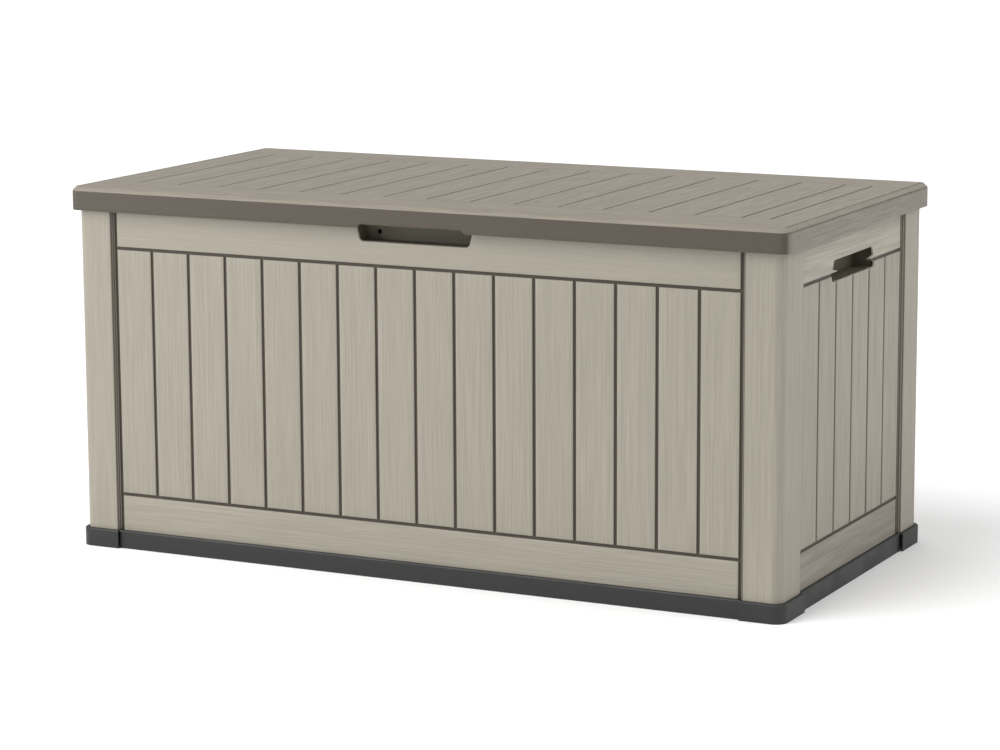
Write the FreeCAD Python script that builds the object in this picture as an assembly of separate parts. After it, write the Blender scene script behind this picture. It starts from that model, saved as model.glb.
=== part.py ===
import FreeCAD, Part
import math
import os

# Deck storage box: a moulded resin chest with four corner posts, plank-pattern panels,
# a dark base tray and a hinged double-wall lid held open by two gas struts.
# Millimetres. Front is -Y, right is +X, up is +Z, origin at the middle of the footprint.

os.makedirs("parts", exist_ok=True)

# ---- overall sizes ----
LID_LENGTH = 1426.0
LID_DEPTH = 714.0
BOX_HEIGHT = 680.0

# ---- clearances ----
PLAY = 0.3            # between neighbouring pieces
FIT = 0.05            # radial running clearance of a pin or rod
SCREW_FIT = 0.1       # radial clearance of a screw in its hole

# ---- mouldings ----
WALL = 3.0
RIM_FLANGE = 12.0     # depth of the flange along a panel's top edge
LID_OVERHANG = 11.0   # lid skirt beyond the posts
POST_RADIUS = 18.0
POST_FRONT = 69.0     # width of a post's front face
POST_SIDE = 89.0      # width of a post's side face
RECESS = 6.0          # panel face behind the post face
TONGUE = 27.0         # panel edge held inside a post
POST_WEB_GAP = 3.0    # room past the end of a panel edge
LIP_WIDTH = 22.0      # post lip that overlaps the back of a panel edge

# ---- plank pattern ----
FRONT_PLANKS = 16
SIDE_PLANKS = 6
GROOVE_WIDTH = 5.0
GROOVE_FLARE = 1.2    # how much wider the groove is at the surface
GROOVE_DEPTH = 3.0
RAIL_TOP_DROP = 112.5 # upper rail groove below the top of the lid
RAIL_BOTTOM_Z = 103.0 # lower rail groove above the ground
BACK_RIB_EXTRA = 4.0  # rib behind a groove, wider than the groove

# ---- base tray ----
BASE_HEIGHT = 34.0
BASE_LEDGE = 7.0      # base beyond the posts and panels
BASE_RADIUS = 22.0
BASE_BEVEL = 2.0
BASE_LIP = 20.0       # height of the locating lip above the floor
BASE_RIBS_X = 10      # ribs under the floor, evenly spaced along X
BASE_RIBS_Y = 4
BASE_RIB = 2.0        # thickness of those ribs
CENTRE_PAD = 80.0     # width of the flat pad under the middle cell
FOOT_RIB = 12.0       # height of the rib that the base screws run through

# ---- lid ----
LID_SKIRT = 35.5      # height of the vertical skirt
LID_BEVEL = 8.5
LID_RADIUS = 17.0
RIM_DROP = 28.0       # top of the body below the top of the lid
LID_REST_GAP = 0.5
LID_BOARD = 104.0     # plain board along the front and the back of the lid
LID_LEFT_BOARD = 87.0 # plain board at the left end of the lid
LID_RIGHT_BOARD = 75.0
LID_PLANK = 86.6      # plank pitch from the left; the last plank takes what is left
LID_GROOVE_WIDTH = 3.0
LID_GROOVE_DEPTH = 1.4
LID_LINE_WIDTH = 1.8
LID_LINE_DEPTH = 0.9
EDGE_LINE_INSET = 10.0
NOTCH_HALF = 99.0
NOTCH_SLOPE = 11.0
NOTCH_RISE = 7.0
SEAT_INSET = 0.5      # seat rib stands just inside the panel face
LINER_WALL = 2.5
LINER_DROP = 24.5     # underside of the liner below the top of the lid
LINER_MARGIN_X = 75.0
LINER_MARGIN_Y = 59.0
BEAD_WIDTH = 24.0
BEAD_HEIGHT = 2.5
BEAD_COUNT = 5
BEAD_MARGIN = 50.0    # a bead's end inside the liner's edge
BOSS_RADIUS = 5.0
BOSSES_ALONG = 6
BOSS_MARGIN_X = 40.0
BOSS_MARGIN_Y = 25.0

# ---- hand grips ----
GRIP_TOP_HALF = 116.0
GRIP_BOTTOM_HALF = 108.5
GRIP_BOTTOM_DROP = 69.0      # drops are below the top of the lid
GRIP_TOP_DROP = 38.0
GRIP_RADIUS = 9.0
GRIP_DEPTH = 34.0
SIDE_GRIP_TOP_DROP = 88.0
SIDE_GRIP_TOP_HALF = 96.0
SIDE_GRIP_HALF = 102.0
SIDE_SLOT_HALF = 106.0
SIDE_SLOT_BOTTOM_DROP = 125.5
SIDE_SLOT_TOP_DROP = 110.0
SIDE_GRIP_LIP_DROP = 103.5
SIDE_GRIP_SAG = 11.0
SIDE_GRIP_RADIUS = 8.0
SIDE_GRIP_DEPTH = 40.0
CUP_FLANGE = 8.0

# ---- lock tab ----
LOCK_X = -87.0
LOCK_DROP = 55.0
LOCK_HOLE_RADIUS = 4.5
LOCK_GAP = 1.5
LOCK_TAB_WIDTH = 36.0
LOCK_TAB_BELOW = 13.0
LOCK_FOOT = 28.5

# ---- hinges ----
HINGE_COUNT = 3
HINGE_SPACING = 480.0
PIN_RADIUS = 3.0
KNUCKLE_RADIUS = 7.0
KNUCKLE_LENGTH = 43.4
LUG_WIDTH = 10.0
HINGE_BEHIND_PANEL = 10.0
HINGE_BELOW_SKIRT = 8.0
PIN_HEAD_RADIUS = 5.0
PIN_HEAD = 2.0
LEAF_RISE = 14.0

# ---- gas struts ----
LID_OPEN_DEG = 95.0
STRUT_INSET = 32.0           # strut's centre plane inside the side panel's face
STRUT_FOOT_FORWARD = 230.0   # strut's foot in front of the hinge axis
STRUT_FOOT_DROP = 330.0
STRUT_STUD_FORWARD = 150.0   # lid stud in front of the hinge axis
STRUT_STUD_ABOVE = 12.0      # lid stud above the hinge axis
TUBE_RADIUS = 9.0
TUBE_BORE = 7.6
TUBE_START = 12.0
TUBE_LENGTH = 260.0
TUBE_END_WALL = 10.0
ROD_RADIUS = 4.0
PISTON_START = 56.0
PISTON_LENGTH = 5.0
EYE_RADIUS = 8.0
EYE_WIDTH = 6.0
STUD_RADIUS = 4.0
BRACKET_WALL = 3.0
BRACKET_WIDTH = 30.0
STUD_CLIP = 2.0

# ---- screws ----
SCREW_RADIUS = 1.9
SCREW_HEAD_RADIUS = 4.0
SCREW_HEAD = 2.0
POST_SCREW_HEIGHTS = (0.15, 0.5, 0.85)    # shares of the post's height
POST_SCREW_SHARE = 0.6                    # share of the tongue past the foot
BASE_SCREW_SHARE = 0.65                   # share of the base lip's height
BASE_SCREW_SPREAD = 0.76                  # outermost base screws, share of the panel's half length
BASE_SCREWS_LONG = 4                      # screws along the front and along the back
BASE_SCREWS_SIDE = 2
POST_SCREW_LENGTH = 2.8 * WALL + 2 * PLAY
BASE_SCREW_LENGTH = 2.5 * WALL + PLAY
LID_SCREW_LENGTH = 14.0
BRACKET_SCREW_LENGTH = 1.6 * WALL
SMALL_SCREW_LENGTH = BRACKET_WALL + LINER_WALL

# ---- sizes worked out from the above ----
POST_X = LID_LENGTH / 2 - LID_OVERHANG
POST_Y = LID_DEPTH / 2 - LID_OVERHANG
PANEL_X = POST_X - RECESS
PANEL_Y = POST_Y - RECESS
FOOT_X = POST_X - POST_FRONT - RECESS      # inner foot of a post on the front
FOOT_Y = POST_Y - POST_SIDE - RECESS       # inner foot of a post on a side
RIM_Z = BOX_HEIGHT - RIM_DROP
SKIRT_Z = BOX_HEIGHT - LID_BEVEL - LID_SKIRT
PLATE_Z = BOX_HEIGHT - WALL                # underside of the lid plate
LINER_Z = BOX_HEIGHT - LINER_DROP
LINER_X = LID_LENGTH / 2 - LINER_MARGIN_X
LINER_Y = LID_DEPTH / 2 - LINER_MARGIN_Y
HINGE_Y = PANEL_Y + HINGE_BEHIND_PANEL
HINGE_Z = SKIRT_Z - HINGE_BELOW_SKIRT
BACK_RIB = GROOVE_DEPTH                    # depth of the ribs behind the grooves
FRAME_Z0 = BASE_HEIGHT + PLAY              # underside of posts and panels
RAIL_TOP_Z = BOX_HEIGHT - RAIL_TOP_DROP
GRIP_BOTTOM_Z = BOX_HEIGHT - GRIP_BOTTOM_DROP
GRIP_TOP_Z = BOX_HEIGHT - GRIP_TOP_DROP
SIDE_GRIP_TOP_Z = BOX_HEIGHT - SIDE_GRIP_TOP_DROP
SIDE_SLOT_Z0 = BOX_HEIGHT - SIDE_SLOT_BOTTOM_DROP
SIDE_SLOT_Z1 = BOX_HEIGHT - SIDE_SLOT_TOP_DROP
SIDE_GRIP_LIP_Z = BOX_HEIGHT - SIDE_GRIP_LIP_DROP
LOCK_Z = BOX_HEIGHT - LOCK_DROP
STRUT_X = PANEL_X - STRUT_INSET
STRUT_FOOT_Y = HINGE_Y - STRUT_FOOT_FORWARD
STRUT_FOOT_Z = BOX_HEIGHT - STRUT_FOOT_DROP
STUD_Y = HINGE_Y - STRUT_STUD_FORWARD
STUD_Z = HINGE_Z + STRUT_STUD_ABOVE

X_AXIS = FreeCAD.Vector(1, 0, 0)
Y_AXIS = FreeCAD.Vector(0, 1, 0)
Z_AXIS = FreeCAD.Vector(0, 0, 1)
ORIGIN = FreeCAD.Vector(0, 0, 0)


# ---- helpers ----
def box(x0, x1, y0, y1, z0, z1):
    return Part.makeBox(x1 - x0, y1 - y0, z1 - z0, FreeCAD.Vector(x0, y0, z0))


def prism(points, direction):
    corners = [FreeCAD.Vector(*point) for point in points]
    outline = Part.makePolygon(corners + corners[:1])
    return Part.Face(outline).extrude(FreeCAD.Vector(*direction))


def rod(radius, start, end):
    start = FreeCAD.Vector(*start)
    along = FreeCAD.Vector(*end) - start
    return Part.makeCylinder(radius, along.Length, start, along)


def join(shapes):
    return shapes[0].multiFuse(shapes[1:]).removeSplitter()


def cut(shape, tools):
    return shape.cut(tools)


def turned(shape, degrees):
    copy = shape.copy()
    copy.rotate(ORIGIN, Z_AXIS, degrees)
    return copy


def mirrored(shape, normal):
    return shape.mirror(ORIGIN, normal)


def round_edges(shape, radius, chosen):
    return shape.makeFillet(radius, [edge for edge in shape.Edges if chosen(edge)])


def is_upright(edge):
    box_of = edge.BoundBox
    return box_of.XLength < 0.01 and box_of.YLength < 0.01


def rounded_block(half_x, half_y, z0, z1, radius):
    block = box(-half_x, half_x, -half_y, half_y, z0, z1)
    return round_edges(block, radius, is_upright)


def spread(count, half_span):
    """Evenly spaced places from -half_span to +half_span."""
    return [half_span * (2.0 * i / (count - 1) - 1.0) for i in range(count)]


def save(name, shape):
    shape.exportStep("parts/%s.step" % name)
    print("%-24s solids %2d  volume %9.0f mm3  valid %s"
          % (name, len(shape.Solids), shape.Volume, shape.isValid()))


def save_group(name, solids):
    save(name, Part.makeCompound(solids))


def screw(head_base, along, length):
    """A pan-head screw: head_base is under the head, along is the way the shank points."""
    along = FreeCAD.Vector(*along)
    base = FreeCAD.Vector(*head_base)
    head = Part.makeCylinder(SCREW_HEAD_RADIUS, SCREW_HEAD, base - along * SCREW_HEAD, along)
    slot_half = SCREW_HEAD_RADIUS * 0.6
    head = round_edges(head, SCREW_HEAD * 0.4,
                       lambda edge: (edge.CenterOfMass - base + along * SCREW_HEAD).Length < 0.2
                       and len(edge.Vertexes) == 1)
    shank = Part.makeCylinder(SCREW_RADIUS, length, base, along)
    recess = Part.makeCylinder(slot_half * 0.5, SCREW_HEAD * 0.5, base - along * SCREW_HEAD, along)
    return head.fuse(shank).cut(recess)


def screw_hole(head_base, along, length):
    along = FreeCAD.Vector(*along)
    base = FreeCAD.Vector(*head_base)
    return Part.makeCylinder(SCREW_RADIUS + SCREW_FIT, length + PLAY, base, along)


# ---- panels: built facing -Y with the outer face at y = -face, then turned into place ----
def groove_cutter(position, face, z0, z1):
    """Upright groove, a little wider at the surface than at its floor."""
    floor_half = GROOVE_WIDTH / 2 - GROOVE_FLARE / 2
    mouth_half = GROOVE_WIDTH / 2 + GROOVE_FLARE / 2
    return prism([(position - mouth_half, -face - 0.01, z0),
                  (position + mouth_half, -face - 0.01, z0),
                  (position + floor_half, -face + GROOVE_DEPTH, z0),
                  (position - floor_half, -face + GROOVE_DEPTH, z0)], (0, 0, z1 - z0))


def rail_cutter(height, face, half):
    floor_half = GROOVE_WIDTH / 2 - GROOVE_FLARE / 2
    mouth_half = GROOVE_WIDTH / 2 + GROOVE_FLARE / 2
    return prism([(-half, -face - 0.01, height - mouth_half),
                  (-half, -face - 0.01, height + mouth_half),
                  (-half, -face + GROOVE_DEPTH, height + floor_half),
                  (-half, -face + GROOVE_DEPTH, height - floor_half)], (2 * half, 0, 0))


def groove_places(foot, planks):
    return spread(planks + 1, foot - GROOVE_WIDTH / 2 - GROOVE_FLARE / 2)


def lip_screw_places(foot, face):
    """Where the screws through the post lips stand, for both ends of a panel."""
    height = RIM_Z - FRAME_Z0
    inside = -face + WALL + PLAY + WALL
    places = []
    for side in (-1, 1):
        for share in POST_SCREW_HEIGHTS:
            places.append((side * (foot + TONGUE * POST_SCREW_SHARE), inside, FRAME_Z0 + share * height))
    return places


def base_screw_places(foot, face, count):
    inside = -face + WALL + BACK_RIB + PLAY + WALL
    height = BASE_HEIGHT + BASE_LIP * BASE_SCREW_SHARE
    return [(x, inside, height) for x in spread(count, foot * BASE_SCREW_SPREAD)]


def plain_panel(foot, face, planks, base_screws):
    half = foot + TONGUE
    places = groove_places(foot, planks)
    rib_half = (GROOVE_WIDTH + BACK_RIB_EXTRA) / 2
    rib_reach = foot - PLAY
    back = -face + WALL
    pieces = [box(-half, half, -face, back, FRAME_Z0, RIM_Z)]
    for place in places:
        low = max(place - rib_half, -rib_reach)
        high = min(place + rib_half, rib_reach)
        is_end = place in (places[0], places[-1])
        z0, z1 = (FRAME_Z0, RIM_Z) if is_end else (RAIL_BOTTOM_Z, RAIL_TOP_Z)
        pieces.append(box(low, high, back, back + BACK_RIB, z0, z1))
    for height in (RAIL_BOTTOM_Z, RAIL_TOP_Z):
        pieces.append(box(-rib_reach, rib_reach, back, back + BACK_RIB,
                          height - rib_half, height + rib_half))
    foot_rib_z = BASE_HEIGHT + BASE_LIP * BASE_SCREW_SHARE
    pieces.append(box(-rib_reach, rib_reach, back, back + BACK_RIB,
                      foot_rib_z - FOOT_RIB / 2, foot_rib_z + FOOT_RIB / 2))
    pieces.append(box(-rib_reach, rib_reach, back, back + RIM_FLANGE, RIM_Z - WALL, RIM_Z))
    panel = join(pieces)
    tools = [groove_cutter(place, face, RAIL_BOTTOM_Z, RAIL_TOP_Z) for place in places[1:-1]]
    tools += [groove_cutter(place, face, FRAME_Z0 - 1, RIM_Z + 1) for place in (places[0], places[-1])]
    tools += [rail_cutter(height, face, places[-1]) for height in (RAIL_BOTTOM_Z, RAIL_TOP_Z)]
    for side in (-1, 1):
        inner = side * (foot - PLAY)
        outer = side * (half + 1)
        tools.append(box(min(inner, outer), max(inner, outer), -face - 1, back + 1,
                         RIM_Z - WALL - PLAY, RIM_Z + 1))
    panel = cut(panel, tools)
    holes = [screw_hole(place, (0, -1, 0), POST_SCREW_LENGTH) for place in lip_screw_places(foot, face)]
    holes += [screw_hole(place, (0, -1, 0), BASE_SCREW_LENGTH)
              for place in base_screw_places(foot, face, base_screws)]
    return cut(panel, holes)


# ---- grip openings, in the same -Y facing frame ----
def front_grip_form(grow, y0, y1, extra_top):
    form = prism([(-GRIP_TOP_HALF - grow, y0, GRIP_TOP_Z + extra_top),
                  (GRIP_TOP_HALF + grow, y0, GRIP_TOP_Z + extra_top),
                  (GRIP_BOTTOM_HALF + grow, y0, GRIP_BOTTOM_Z - grow),
                  (-GRIP_BOTTOM_HALF - grow, y0, GRIP_BOTTOM_Z - grow)], (0, y1 - y0, 0))
    middle = (GRIP_BOTTOM_Z + GRIP_TOP_Z) / 2
    return round_edges(form, GRIP_RADIUS + grow,
                       lambda edge: edge.BoundBox.YLength > 1 and edge.BoundBox.XLength < 0.01
                       and edge.BoundBox.ZMax < middle)


def side_grip_form(y0, y1):
    """Rail cut-out with a sagging lower edge, joined to a slot across the rail groove."""
    upper_points = [(-SIDE_GRIP_TOP_HALF, y0, SIDE_GRIP_TOP_Z), (SIDE_GRIP_TOP_HALF, y0, SIDE_GRIP_TOP_Z),
                    (SIDE_GRIP_HALF, y0, SIDE_GRIP_LIP_Z)]
    start = FreeCAD.Vector(SIDE_GRIP_HALF, y0, SIDE_GRIP_LIP_Z)
    low = FreeCAD.Vector(0, y0, SIDE_GRIP_LIP_Z - SIDE_GRIP_SAG)
    end = FreeCAD.Vector(-SIDE_GRIP_HALF, y0, SIDE_GRIP_LIP_Z)
    corners = [FreeCAD.Vector(*point) for point in upper_points]
    edges = [Part.LineSegment(corners[0], corners[1]).toShape(),
             Part.LineSegment(corners[1], corners[2]).toShape(),
             Part.Arc(start, low, end).toShape(),
             Part.LineSegment(end, corners[0]).toShape()]
    upper = Part.Face(Part.Wire(edges)).extrude(FreeCAD.Vector(0, y1 - y0, 0))
    upper = round_edges(upper, SIDE_GRIP_RADIUS,
                        lambda edge: edge.BoundBox.YLength > 1 and edge.BoundBox.XLength < 0.01
                        and edge.BoundBox.ZMin > SIDE_GRIP_TOP_Z - 1)
    slot = box(-SIDE_SLOT_HALF, SIDE_SLOT_HALF, y0, y1, SIDE_SLOT_Z0, SIDE_SLOT_Z1)
    slot = round_edges(slot, SIDE_GRIP_RADIUS * 0.9,
                       lambda edge: edge.BoundBox.YLength > 1 and edge.BoundBox.XLength < 0.01)
    return upper.fuse(slot)


def front_grip_cup():
    back = -PANEL_Y + WALL
    rear = -PANEL_Y + GRIP_DEPTH
    outer = front_grip_form(WALL, back + PLAY, rear + WALL, WALL)
    flange = box(-GRIP_TOP_HALF - WALL - CUP_FLANGE, GRIP_TOP_HALF + WALL + CUP_FLANGE,
                 back + PLAY, back + PLAY + WALL, GRIP_BOTTOM_Z - WALL - CUP_FLANGE, RIM_Z - WALL - PLAY)
    inner = front_grip_form(0.0, back - 1, rear, 0.0)
    lock_hole = rod(LOCK_HOLE_RADIUS, (LOCK_X, rear - 1, LOCK_Z), (LOCK_X, rear + WALL + 1, LOCK_Z))
    return cut(outer.fuse(flange), [inner, lock_hole]).removeSplitter()


def side_grip_cup():
    """Built facing -Y, like the panel that it stands behind."""
    back = -PANEL_X + WALL + BACK_RIB
    rear = -PANEL_X + SIDE_GRIP_DEPTH
    half = SIDE_SLOT_HALF + PLAY
    z0 = SIDE_SLOT_Z0 - PLAY
    z1 = SIDE_GRIP_TOP_Z + PLAY
    outer = box(-half - WALL, half + WALL, back + PLAY, rear + WALL, z0 - WALL, z1 + WALL)
    outer = round_edges(outer, SIDE_GRIP_RADIUS,
                        lambda edge: edge.BoundBox.YLength > 1 and edge.BoundBox.XLength < 0.01)
    flange = box(-half - WALL - CUP_FLANGE, half + WALL + CUP_FLANGE, back + PLAY, back + PLAY + WALL,
                 z0 - WALL - CUP_FLANGE, z1 + WALL + CUP_FLANGE)
    inner = box(-half, half, back - 1, rear, z0, z1)
    inner = round_edges(inner, SIDE_GRIP_RADIUS - WALL,
                        lambda edge: edge.BoundBox.YLength > 1 and edge.BoundBox.XLength < 0.01)
    return cut(outer.fuse(flange), [inner]).removeSplitter()


def long_panel():
    return plain_panel(FOOT_X, PANEL_Y, FRONT_PLANKS, BASE_SCREWS_LONG)


def front_panel():
    opening = front_grip_form(0.0, -PANEL_Y - 1, -PANEL_Y + WALL + 1, 0.0)
    return cut(long_panel(), [opening])


def hinge_places():
    return spread(HINGE_COUNT, HINGE_SPACING)


def hinge_lug(x0, x1):
    """One ear of a hinge, standing out from the rear panel."""
    base_y = PANEL_Y - 0.01
    reach = KNUCKLE_RADIUS * 0.7071
    web = prism([(x0, base_y, HINGE_Z + KNUCKLE_RADIUS - 1), (x0, HINGE_Y, HINGE_Z + KNUCKLE_RADIUS - 1),
                 (x0, HINGE_Y + reach, HINGE_Z - reach), (x0, base_y, HINGE_Z - 3.4 * KNUCKLE_RADIUS)],
                (x1 - x0, 0, 0))
    barrel = rod(KNUCKLE_RADIUS, (x0, HINGE_Y, HINGE_Z), (x1, HINGE_Y, HINGE_Z))
    return web.fuse(barrel)


def rear_panel():
    panel = turned(long_panel(), 180)
    inner = KNUCKLE_LENGTH / 2 + PLAY
    lugs = []
    bores = []
    for x in hinge_places():
        lugs.append(hinge_lug(x - inner - LUG_WIDTH, x - inner))
        lugs.append(hinge_lug(x + inner, x + inner + LUG_WIDTH))
        bores.append(rod(PIN_RADIUS + FIT / 2, (x - inner - LUG_WIDTH - 1, HINGE_Y, HINGE_Z),
                         (x + inner + LUG_WIDTH + 1, HINGE_Y, HINGE_Z)))
    return cut(join([panel] + lugs), bores)


def foot_bracket_screw_places():
    """On the right side: two screws above and below the strut's foot."""
    offset = BRACKET_WIDTH * 0.55
    inside = PANEL_X - WALL - BRACKET_WALL
    return [(inside, STRUT_FOOT_Y, STRUT_FOOT_Z + side * offset) for side in (-1, 1)]


def right_panel():
    panel = plain_panel(FOOT_Y, PANEL_X, SIDE_PLANKS, BASE_SCREWS_SIDE)
    opening = side_grip_form(-PANEL_X - 1, -PANEL_X + WALL + BACK_RIB + 1)
    panel = turned(cut(panel, [opening]), 90)
    holes = [screw_hole(place, (1, 0, 0), BRACKET_SCREW_LENGTH) for place in foot_bracket_screw_places()]
    return cut(panel, holes)


# ---- corner post, built in the +X +Y quarter ----
def rear_right_post():
    face_x = POST_X - POST_FRONT
    face_y = POST_Y - POST_SIDE
    z0 = FRAME_Z0
    height = RIM_Z - z0

    def at_corner(edge):
        return is_upright(edge) and edge.BoundBox.XMin > face_x + 1 and edge.BoundBox.YMin > face_y + 1

    full = round_edges(box(face_x, POST_X, face_y, POST_Y, z0, RIM_Z), POST_RADIUS, at_corner)
    hollow = round_edges(box(face_x - 1, POST_X - WALL, face_y - 1, POST_Y - WALL, z0 - 1, RIM_Z + 1),
                         POST_RADIUS - WALL, at_corner)
    pieces = [full.cut(hollow)]
    slant = WALL * math.sqrt(2)
    for swap, face, foot, face_edge, outer in ((False, PANEL_Y, FOOT_X, face_x, POST_Y),
                                               (True, PANEL_X, FOOT_Y, face_y, POST_X)):
        lip_outside = face + PLAY
        lip_inside = face - WALL - PLAY
        web = foot + TONGUE + POST_WEB_GAP
        flank = [(face_edge, outer), (foot + PLAY, lip_outside), (foot + PLAY + slant, lip_outside),
                 (face_edge + slant - WALL + PLAY, outer - WALL), (face_edge + WALL + 1, outer - WALL),
                 (face_edge + WALL + 1, outer)]
        blocks = [(foot + PLAY + 2, web + WALL, lip_outside, lip_outside + WALL),
                  (web, web + WALL, lip_inside - WALL, outer - WALL + 0.5),
                  (web + WALL - LIP_WIDTH - WALL, web + WALL, lip_inside - WALL, lip_inside)]
        if swap:
            pieces.append(prism([(b, a, z0) for a, b in flank], (0, 0, height)))
            pieces += [box(c, d, a, b, z0, RIM_Z) for a, b, c, d in blocks]
        else:
            pieces.append(prism([(a, b, z0) for a, b in flank], (0, 0, height)))
            pieces += [box(a, b, c, d, z0, RIM_Z) for a, b, c, d in blocks]
    cap = box(face_x, POST_X, PANEL_Y - 2 * WALL, POST_Y, RIM_Z - WALL, RIM_Z)
    cap = cap.fuse(box(PANEL_X - 2 * WALL, POST_X, face_y, POST_Y, RIM_Z - WALL, RIM_Z))
    pieces.append(cap.common(full))
    post = join(pieces)
    holes = []
    for place in lip_screw_places(FOOT_X, PANEL_Y):
        if place[0] < 0:
            holes.append(turned(screw_hole(place, (0, -1, 0), POST_SCREW_LENGTH), 180))
    for place in lip_screw_places(FOOT_Y, PANEL_X):
        if place[0] > 0:
            holes.append(turned(screw_hole(place, (0, -1, 0), POST_SCREW_LENGTH), 90))
    return cut(post, holes)


# ---- base tray ----
def base_outline(half_x, half_y, corner_x, corner_y, z0, z1, radius):
    """A plain block with four larger corner blocks under the posts."""
    core = rounded_block(half_x, half_y, z0, z1, radius)
    corners = rounded_block(corner_x, corner_y, z0, z1, radius)
    corners = cut(corners, [box(-FOOT_X, FOOT_X, -corner_y - 1, corner_y + 1, z0 - 1, z1 + 1),
                            box(-corner_x - 1, corner_x + 1, -FOOT_Y, FOOT_Y, z0 - 1, z1 + 1)])
    return core.fuse(corners).removeSplitter()


def base_tray():
    outer = base_outline(PANEL_X + BASE_LEDGE, PANEL_Y + BASE_LEDGE,
                         POST_X + BASE_LEDGE, POST_Y + BASE_LEDGE, 0, BASE_HEIGHT, BASE_RADIUS)
    outer = outer.makeChamfer(BASE_BEVEL, [edge for edge in outer.Edges
                                           if edge.BoundBox.ZMin > BASE_HEIGHT - 0.01])
    inner = base_outline(PANEL_X + BASE_LEDGE - WALL, PANEL_Y + BASE_LEDGE - WALL,
                         POST_X + BASE_LEDGE - WALL, POST_Y + BASE_LEDGE - WALL,
                         -1, BASE_HEIGHT - WALL, BASE_RADIUS - WALL)
    tray = outer.cut(inner)
    pieces = [tray]
    inner_x = PANEL_X + BASE_LEDGE - WALL
    inner_y = PANEL_Y + BASE_LEDGE - WALL
    for x in spread(BASE_RIBS_X, inner_x * (BASE_RIBS_X - 1) / (BASE_RIBS_X + 1)):
        pieces.append(box(x - BASE_RIB / 2, x + BASE_RIB / 2, -inner_y, inner_y, 0, BASE_HEIGHT - WALL))
    for y in spread(BASE_RIBS_Y, inner_y * (BASE_RIBS_Y - 1) / (BASE_RIBS_Y + 1)):
        pieces.append(box(-inner_x, inner_x, y - BASE_RIB / 2, y + BASE_RIB / 2, 0, BASE_HEIGHT - WALL))
    half_pad = CENTRE_PAD / 2
    pad_y = inner_y / (BASE_RIBS_Y + 1)
    pieces.append(box(-half_pad, half_pad, -pad_y, pad_y, 0, WALL))
    lip_y = PANEL_Y - WALL - BACK_RIB - PLAY
    lip_x = PANEL_X - WALL - BACK_RIB - PLAY
    for side in (-1, 1):
        y = sorted((side * lip_y, side * (lip_y - WALL)))
        pieces.append(box(-FOOT_X, FOOT_X, y[0], y[1], BASE_HEIGHT - 1, BASE_HEIGHT + BASE_LIP))
        x = sorted((side * lip_x, side * (lip_x - WALL)))
        pieces.append(box(x[0], x[1], -FOOT_Y, FOOT_Y, BASE_HEIGHT - 1, BASE_HEIGHT + BASE_LIP))
    tray = join(pieces)
    holes = []
    for angle, foot, face, count in base_screw_rows():
        for place in base_screw_places(foot, face, count):
            holes.append(turned(screw_hole(place, (0, -1, 0), BASE_SCREW_LENGTH), angle))
    return cut(tray, holes)


def base_screw_rows():
    return ((0, FOOT_X, PANEL_Y, BASE_SCREWS_LONG), (180, FOOT_X, PANEL_Y, BASE_SCREWS_LONG),
            (90, FOOT_Y, PANEL_X, BASE_SCREWS_SIDE), (270, FOOT_Y, PANEL_X, BASE_SCREWS_SIDE))


# ---- lid ----
def beveled_block(half_x, half_y, z0, z1, radius, bevel):
    block = rounded_block(half_x, half_y, z0, z1, radius)
    return block.makeChamfer(bevel, [edge for edge in block.Edges if edge.BoundBox.ZMin > z1 - 0.01])


def lid_boss_places():
    y_places = (BOSS_MARGIN_Y - LINER_Y, LINER_Y - BOSS_MARGIN_Y)
    return [(x, y) for x in spread(BOSSES_ALONG, LINER_X - BOSS_MARGIN_X) for y in y_places]


def lid_groove_tools():
    """Plank grooves between plain boards, and the thin lines that edge the boards."""
    half_x = LID_LENGTH / 2
    half_y = LID_DEPTH / 2
    top = BOX_HEIGHT
    board = half_y - LID_BOARD
    tools = []
    planks = int((LID_LENGTH - LID_LEFT_BOARD - LID_RIGHT_BOARD) / LID_PLANK)
    places = [LID_LEFT_BOARD - half_x + LID_PLANK * i for i in range(planks + 1)]
    for x in places + [half_x - LID_RIGHT_BOARD]:
        tools.append(box(x - LID_GROOVE_WIDTH / 2, x + LID_GROOVE_WIDTH / 2, -board, board,
                         top - LID_GROOVE_DEPTH, top + 1))
    for y in (-board, board):
        tools.append(box(-half_x - 1, half_x + 1, y - LID_LINE_WIDTH / 2, y + LID_LINE_WIDTH / 2,
                         top - LID_LINE_DEPTH, top + 1))
    for side in (-1, 1):
        x = side * (half_x - EDGE_LINE_INSET)
        tools.append(box(x - LID_LINE_WIDTH / 2, x + LID_LINE_WIDTH / 2, -half_y - 1, half_y + 1,
                         top - LID_LINE_DEPTH, top + 1))
    return tools


def lid_knuckle(x):
    x0 = x - KNUCKLE_LENGTH / 2
    barrel = rod(KNUCKLE_RADIUS, (x0, HINGE_Y, HINGE_Z), (x0 + KNUCKLE_LENGTH, HINGE_Y, HINGE_Z))
    leaf = box(x0, x0 + KNUCKLE_LENGTH, HINGE_Y + PIN_RADIUS, LID_DEPTH / 2 - PLAY,
               HINGE_Z + 1, SKIRT_Z + LEAF_RISE)
    return barrel.fuse(leaf)


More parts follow.
